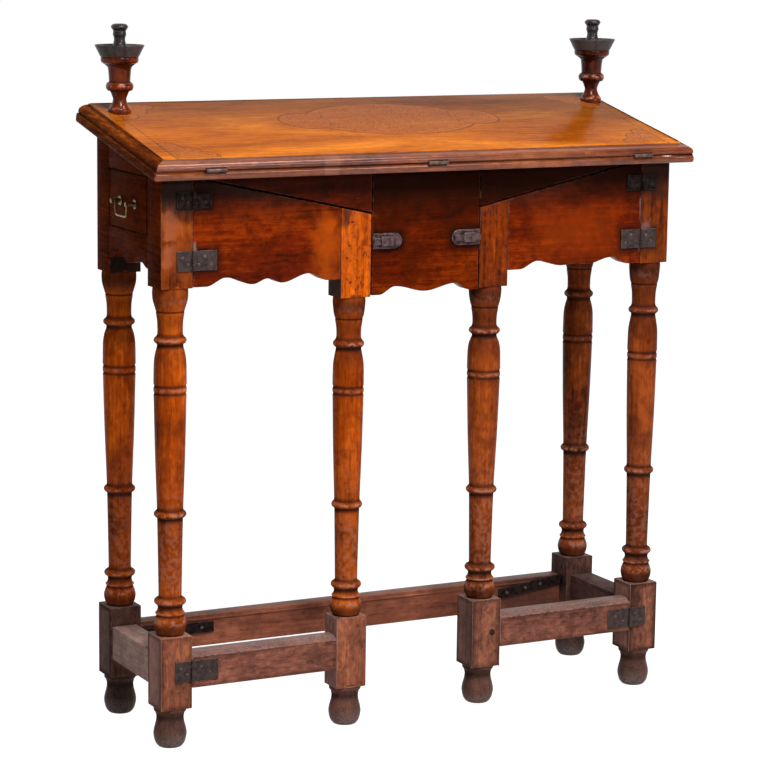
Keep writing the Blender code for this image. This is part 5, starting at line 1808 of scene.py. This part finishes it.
@dataclass
class CandleHolder:
    """Turned stem pegged into the leaf, with an ebonised drip pan and nozzle."""

    side: Side
    foot: float = 0.0152
    stem_top: float = 0.0735
    collar: float = 0.0254
    cove: tuple[Point, ...] = ((0.0196, 0.0632), (0.0163, 0.0598), (0.0150, 0.0520), (0.0143, 0.0404))
    ring: tuple[float, ...] = (0.0343, 0.0060, 0.0132, 0.0187, 0.85)
    ring_steps: int = 18
    waist: tuple[Point, ...] = (
        (0.0128, 0.0280), (0.0112, 0.0240), (0.0091, 0.0185), (0.0093, 0.0150), (0.0118, 0.0090))
    # the soiled rings are grime and painted shade in the stem's hollows; the rubbed rings are wear and a painted
    # highlight on the bead's crown
    soil_and_shade: tuple[Ring, ...] = (
        (0.0282, 0.0018, 0.8), (0.0405, 0.0012, 0.9), (0.0632, 0.0020, 0.7), (0.0170, 0.0035, 0.45))
    rubs: tuple[Ring, ...] = ((0.0362, 0.0022, 0.9), (0.0048, 0.0020, 0.5))
    peg: Point = (0.0055, 0.0075)
    peg_sides: int = 24
    gap: float = 0.0003
    rim: float = 0.0333
    rim_height: float = 0.0158
    pan_floor: float = 0.0078
    pan_flat: float = 0.0240
    pan_wall: tuple[Point, ...] = ((0.0302, 0.0090), (0.0272, 0.0028))
    pan_foot: float = 0.0258
    bore: float = 0.0064
    bore_depth: float = 0.018
    nozzle_top: float = 0.0438
    nozzle_foot: float = 0.0098
    nozzle_reach: float = 0.0120
    nozzle_lip: tuple[Point, ...] = (
        (0.0094, 0.0008), (0.0112, 0.0028), (0.0115, 0.0044), (0.0106, 0.0064), (0.0092, 0.0082))
    nozzle_wall: tuple[Point, ...] = (
        (0.0086, 0.0335), (0.0089, 0.0310), (0.0091, 0.0297), (0.0086, 0.0282), (0.0075, 0.0240),
        (0.0080, 0.0195), (0.0090, 0.0155))
    sample: float = 0.0015
    trace: float = 0.0002

    def stem_outline(self) -> Outline:
        """Outline of the stem from its collar down.

        Returns:
            Radius and height of each point.
        """
        collar, foot, top = self.collar, self.foot, self.stem_top
        edge = flowing([
            (collar - 0.0008, top), (collar, top - 0.0010), (collar, 0.0685), (collar - 0.0010, 0.0662)], 4)
        cove = flowing([(collar - 0.0010, 0.0662), *self.cove])
        ring = bead(*self.ring, self.ring_steps)
        waist = flowing([*self.waist, (foot, 0.0035), (foot, -0.002)])
        return [(0.0, top), *edge, *cove, *ring, *waist, (foot, -foot), (0.0, -foot)]

    def nozzle_outline(self) -> Outline:
        """Outline of the nozzle down to the floor of the pan, heights from the pan's foot.

        Returns:
            Radius and height of each point.
        """
        top, bore = self.nozzle_top, self.bore
        lip = flowing([
            (bore, top - 0.0010), (bore + 0.0008, top),
            *((radius, top - drop) for radius, drop in self.nozzle_lip),
            *self.nozzle_wall, (self.nozzle_foot, self.pan_floor)])
        return [(0.0, top - self.bore_depth), (bore, top - self.bore_depth), *lip]

    def pan_outline(self) -> Outline:
        """Outline of the pan from its flat floor over the rim to its foot.

        Returns:
            Radius and height of each point.
        """
        rim, height = self.rim, self.rim_height
        floor = [(self.pan_flat, self.pan_floor), (rim - 0.0016, height - 0.0006)]
        edge = [(rim - 0.0012, height), (rim - 0.0004, height), (rim, height - 0.0006)]
        wall = flowing([(rim, height - 0.0006), *self.pan_wall, (self.pan_foot, 0.0002)])
        return [*floor, *edge, *wall, (self.pan_foot - 0.0006, 0.0), (0.0, 0.0)]

    def build_stem(self, base: Vector) -> None:
        """Build and dress the stem, cut to the slope of the leaf, with its peg.

        Args:
            base: point where the axis meets the leaf.
        """
        bm = spun(resampled(self.stem_outline(), self.sample), base)
        bmesh.ops.contextual_create(bm, geom=cut_off(bm, base + UP_SLOPE * self.gap, -UP_SLOPE))
        # dark rings of grime and painted shade, pale rings of wear and a painted highlight on the bead
        for layer, rings in ((Layer.GROOVE, self.soil_and_shade), (Layer.WEAR, self.rubs)):
            mark(bm, layer, [(base.z + height, wide, power) for height, wide, power in rings])
        radius, depth = self.peg
        length = depth + self.foot / 2
        place = Matrix.Translation(base + Vector((0, 0, self.foot / 2 - length / 2)))
        peg = rod(place, radius, length, self.peg_sides)
        stand_in(f"candle_stem_{self.side.value}", "turned").add(absorb(bm, peg), Palette.stem)

    def build(self) -> None:
        """Build and dress the holder."""
        low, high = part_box(f"candle_stem_{self.side.value}")
        pan = f"candle_pan_{self.side.value}"
        foot = Vector(((low.x + high.x) / 2, (low.y + high.y) / 2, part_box(pan)[0].z))
        self.build_stem(foot - Vector((0, 0, self.gap + self.stem_top)))
        bm = spun(resampled(self.nozzle_outline() + self.pan_outline(), self.sample), foot)
        for face in bm.faces:
            middle = face.calc_center_median() - foot
            inner = Vector((middle.x, middle.y)).length < self.nozzle_reach
            raised = middle.z > self.pan_floor + self.trace
            face.material_index = PanFace.NOZZLE if inner and raised else PanFace.PAN
        stand_in(pan, "turned").add(bm, Palette.ebony, Palette.ebony_polished)


@dataclass(frozen=True)
class Lamp:
    """A soft lamp: its place, power in watts, the sides of its face, and whether polish mirrors it."""

    name: str
    place: tuple[float, float, float]
    power: float
    sides: Point
    mirrored: bool = True

    def hang(self, target: Vector) -> None:
        """Put the lamp into the scene.

        Args:
            target: point that it shines at.
        """
        data = bpy.data.lights.new(self.name, "AREA")
        data.energy = self.power
        data.shape = "RECTANGLE"
        data.size, data.size_y = self.sides
        lamp = bpy.data.objects.new(self.name, data)
        lamp.location = self.place
        lamp.rotation_euler = (target - Vector(self.place)).to_track_quat("-Z", "Y").to_euler()
        lamp.visible_glossy = self.mirrored
        bpy.context.scene.collection.objects.link(lamp)


@dataclass
class Studio:
    """Camera at the photograph's angle, soft lamps, pale floor and white surroundings."""

    frame_px: float = 768.0
    focal_px: float = 2806.13
    middle_px: Point = (386.32, 385.0)
    roll: float = 0.0137
    back: tuple[float, float, float] = (-0.4548, -0.8740, 0.1711)
    target: tuple[float, float, float] = (0.0, 0.0046, 0.45)
    distance: float = 3.9191
    sensor: float = 36.0
    ambient: float = 0.10
    reflected_front: float = 0.04
    horizon: Point = (0.0, 0.5)
    floor_half: float = 30.0
    floor_colour: Colour = (0.60, 0.60, 0.60)
    floor_roughness: float = 0.9
    floor_share: float = 0.60
    floor_glow: float = 1.63
    lamps: tuple[Lamp, ...] = (
        Lamp("key", (-0.45, -2.2, 3.0), 104.0, (0.8, 0.8)),
        Lamp("panel", (0.82, -1.15, 3.1), 28.0, (0.9, 0.42)),
        Lamp("strip", (0.95, -2.60, 1.48), 18.0, (0.9, 0.25)),
        Lamp("fill", (-2.6, -1.6, 1.4), 3.0, (1.8, 1.8), mirrored=False),
        Lamp("rear", (0.6, 3.0, 2.2), 15.0, (2.0, 2.0), mirrored=False))

    def camera(self) -> None:
        """Add the camera."""
        back = Vector(self.back).normalized()
        right = Vector((0, 0, 1)).cross(back).normalized()
        up = back.cross(right)
        tilt = Matrix.Rotation(self.roll, 3, back)
        data = bpy.data.cameras.new("camera")
        data.sensor_width = self.sensor
        data.lens = self.focal_px / self.frame_px * self.sensor
        data.shift_x = (self.frame_px / 2 - self.middle_px[0]) / self.frame_px
        data.shift_y = (self.middle_px[1] - self.frame_px / 2) / self.frame_px
        camera = bpy.data.objects.new("camera", data)
        bpy.context.scene.collection.objects.link(camera)
        turned = Matrix((tilt @ right, tilt @ up, back)).transposed().to_4x4()
        camera.matrix_world = Matrix.Translation(Vector(self.target) + back * self.distance) @ turned
        bpy.context.scene.camera = camera

    def floor(self) -> None:
        """Add the floor, white to the camera apart from a faint shadow."""
        bm = bmesh.new()
        bmesh.ops.create_grid(bm, x_segments=1, y_segments=1, size=self.floor_half)
        mesh = bpy.data.meshes.new("floor")
        bm.to_mesh(mesh)
        bm.free()
        graph = MaterialGraph("pale_floor")
        graph.set(
            Base_Color=rgba(self.floor_colour), Roughness=self.floor_roughness, Specular_IOR_Level=0.0)
        glow = graph.add("ShaderNodeEmission")
        glow.inputs["Strength"].default_value = self.floor_glow
        blend = graph.add("ShaderNodeMixShader")
        seen = graph.seen_directly("Is Camera Ray", "Is Glossy Ray", "Is Transmission Ray")
        graph.feed(blend.inputs[0], graph.times(seen, self.floor_share))
        graph.feed(blend.inputs[1], graph.shader.outputs[0])
        graph.feed(blend.inputs[2], glow.outputs[0])
        graph.feed(graph.output.inputs["Surface"], blend.outputs[0])
        mesh.materials.append(graph.owner)
        floor = bpy.data.objects.new("floor", mesh)
        bpy.context.scene.collection.objects.link(floor)

    def world(self) -> None:
        """Dim even light, with a white backdrop behind the table to the camera and in reflections."""
        world = bpy.data.worlds.new("studio")
        graph = NodeGraph(world)
        behind = graph.fade(graph.axes("Generated")[1], *self.horizon)
        backdrop = graph.math("MULTIPLY_ADD", behind, 1.0 - self.reflected_front, self.reflected_front)
        mirrored = graph.seen_directly("Is Glossy Ray", "Is Transmission Ray")
        strength = graph.math(
            "MULTIPLY_ADD", mirrored, graph.minus(backdrop, self.ambient), self.ambient)
        light = graph.add("ShaderNodeBackground")
        light.inputs["Color"].default_value = (1, 1, 1, 1)
        seen = graph.seen_directly("Is Camera Ray")
        graph.feed(light.inputs["Strength"], graph.math("MAXIMUM", strength, seen))
        graph.feed(graph.add("ShaderNodeOutputWorld").inputs["Surface"], light.outputs[0])
        bpy.context.scene.world = world

    def build(self) -> None:
        """Set up camera, floor, surroundings and lamps."""
        bpy.context.scene.view_settings.view_transform = "Standard"
        self.camera()
        self.floor()
        self.world()
        for lamp in self.lamps:
            lamp.hang(Vector(self.target))


def legs() -> list[TurnedLeg]:
    """The six legs, each turned a little differently.

    Returns:
        The legs in the order of building.
    """
    # the shaded and lit copies among these paint shade and light on single legs
    top, foot, foot_shaded = (Palette.corner, Palette.side_case), Palette.foot, Palette.foot_shaded
    # far: finishes of the back left top block, whose dark front is painted shade
    far, honey = (Palette.grubby_and_shaded, Palette.side_case), (Palette.honey, Palette.grubby_and_shaded)
    amber = (Palette.amber, Palette.grubby_and_shaded)
    low, dim = (Palette.low_block, Palette.low_side), (Palette.low_block_shaded, Palette.low_side_shaded)
    dark = (Palette.low_block_dark, Palette.low_block_dark)
    return [
        TurnedLeg(
            "leg_front_left", (Palette.turned, *top, *low, foot), bell=0.0236, bead=0.0217, belly=0.0219),
        TurnedLeg(
            "leg_front_right", (Palette.turned_shaded, *top, *dim, foot),
            bell=0.0220, bead=0.0212, belly=0.0213, rim_darkening=0.90, bell_grime_and_shade=0.70),
        TurnedLeg(
            "leg_back_left", (Palette.turned_lit, *far, *dark, foot_shaded),
            bell=0.0236, bead=0.0217, belly=0.0226, bell_grime_and_shade=0.92),
        TurnedLeg(
            "leg_back_right", (Palette.turned_back_shaded, *top, *dark, foot_shaded),
            bell=0.0222, bead=0.0214, belly=0.0222, bell_grime_and_shade=0.92),
        TurnedLeg(
            "gate_left_leg", (Palette.turned, *honey, *low, foot), bell=0.0222, bead=0.0212, belly=0.0214,
            block_base=0.593, cad_top=0.593, upper_share=0.855, bell_grime_and_shade=0.84),
        TurnedLeg(
            "gate_right_leg", (Palette.turned_brown, *amber, *dim, foot),
            bell=0.0226, bead=0.0217, belly=0.0232, foot_rise=0.0045, block_base=0.5972, cad_top=0.593,
            low_top=0.1560, low_base=0.0585, upper_share=0.858, ring_share=0.719, middle_share=0.350,
            bell_grime_and_shade=0.78),
    ]


def main() -> None:
    """Build the studio and every part of the table in order."""
    logging.basicConfig(level=logging.INFO, format="%(message)s")
    Studio().build()
    for leg in legs():
        leg.build()
    Top().build()
    Case().build()
    Ironwork().build()
    DrawerHandle().build()
    for side in Side:
        CandleHolder(side).build()


if __name__ == "__main__":
    main()
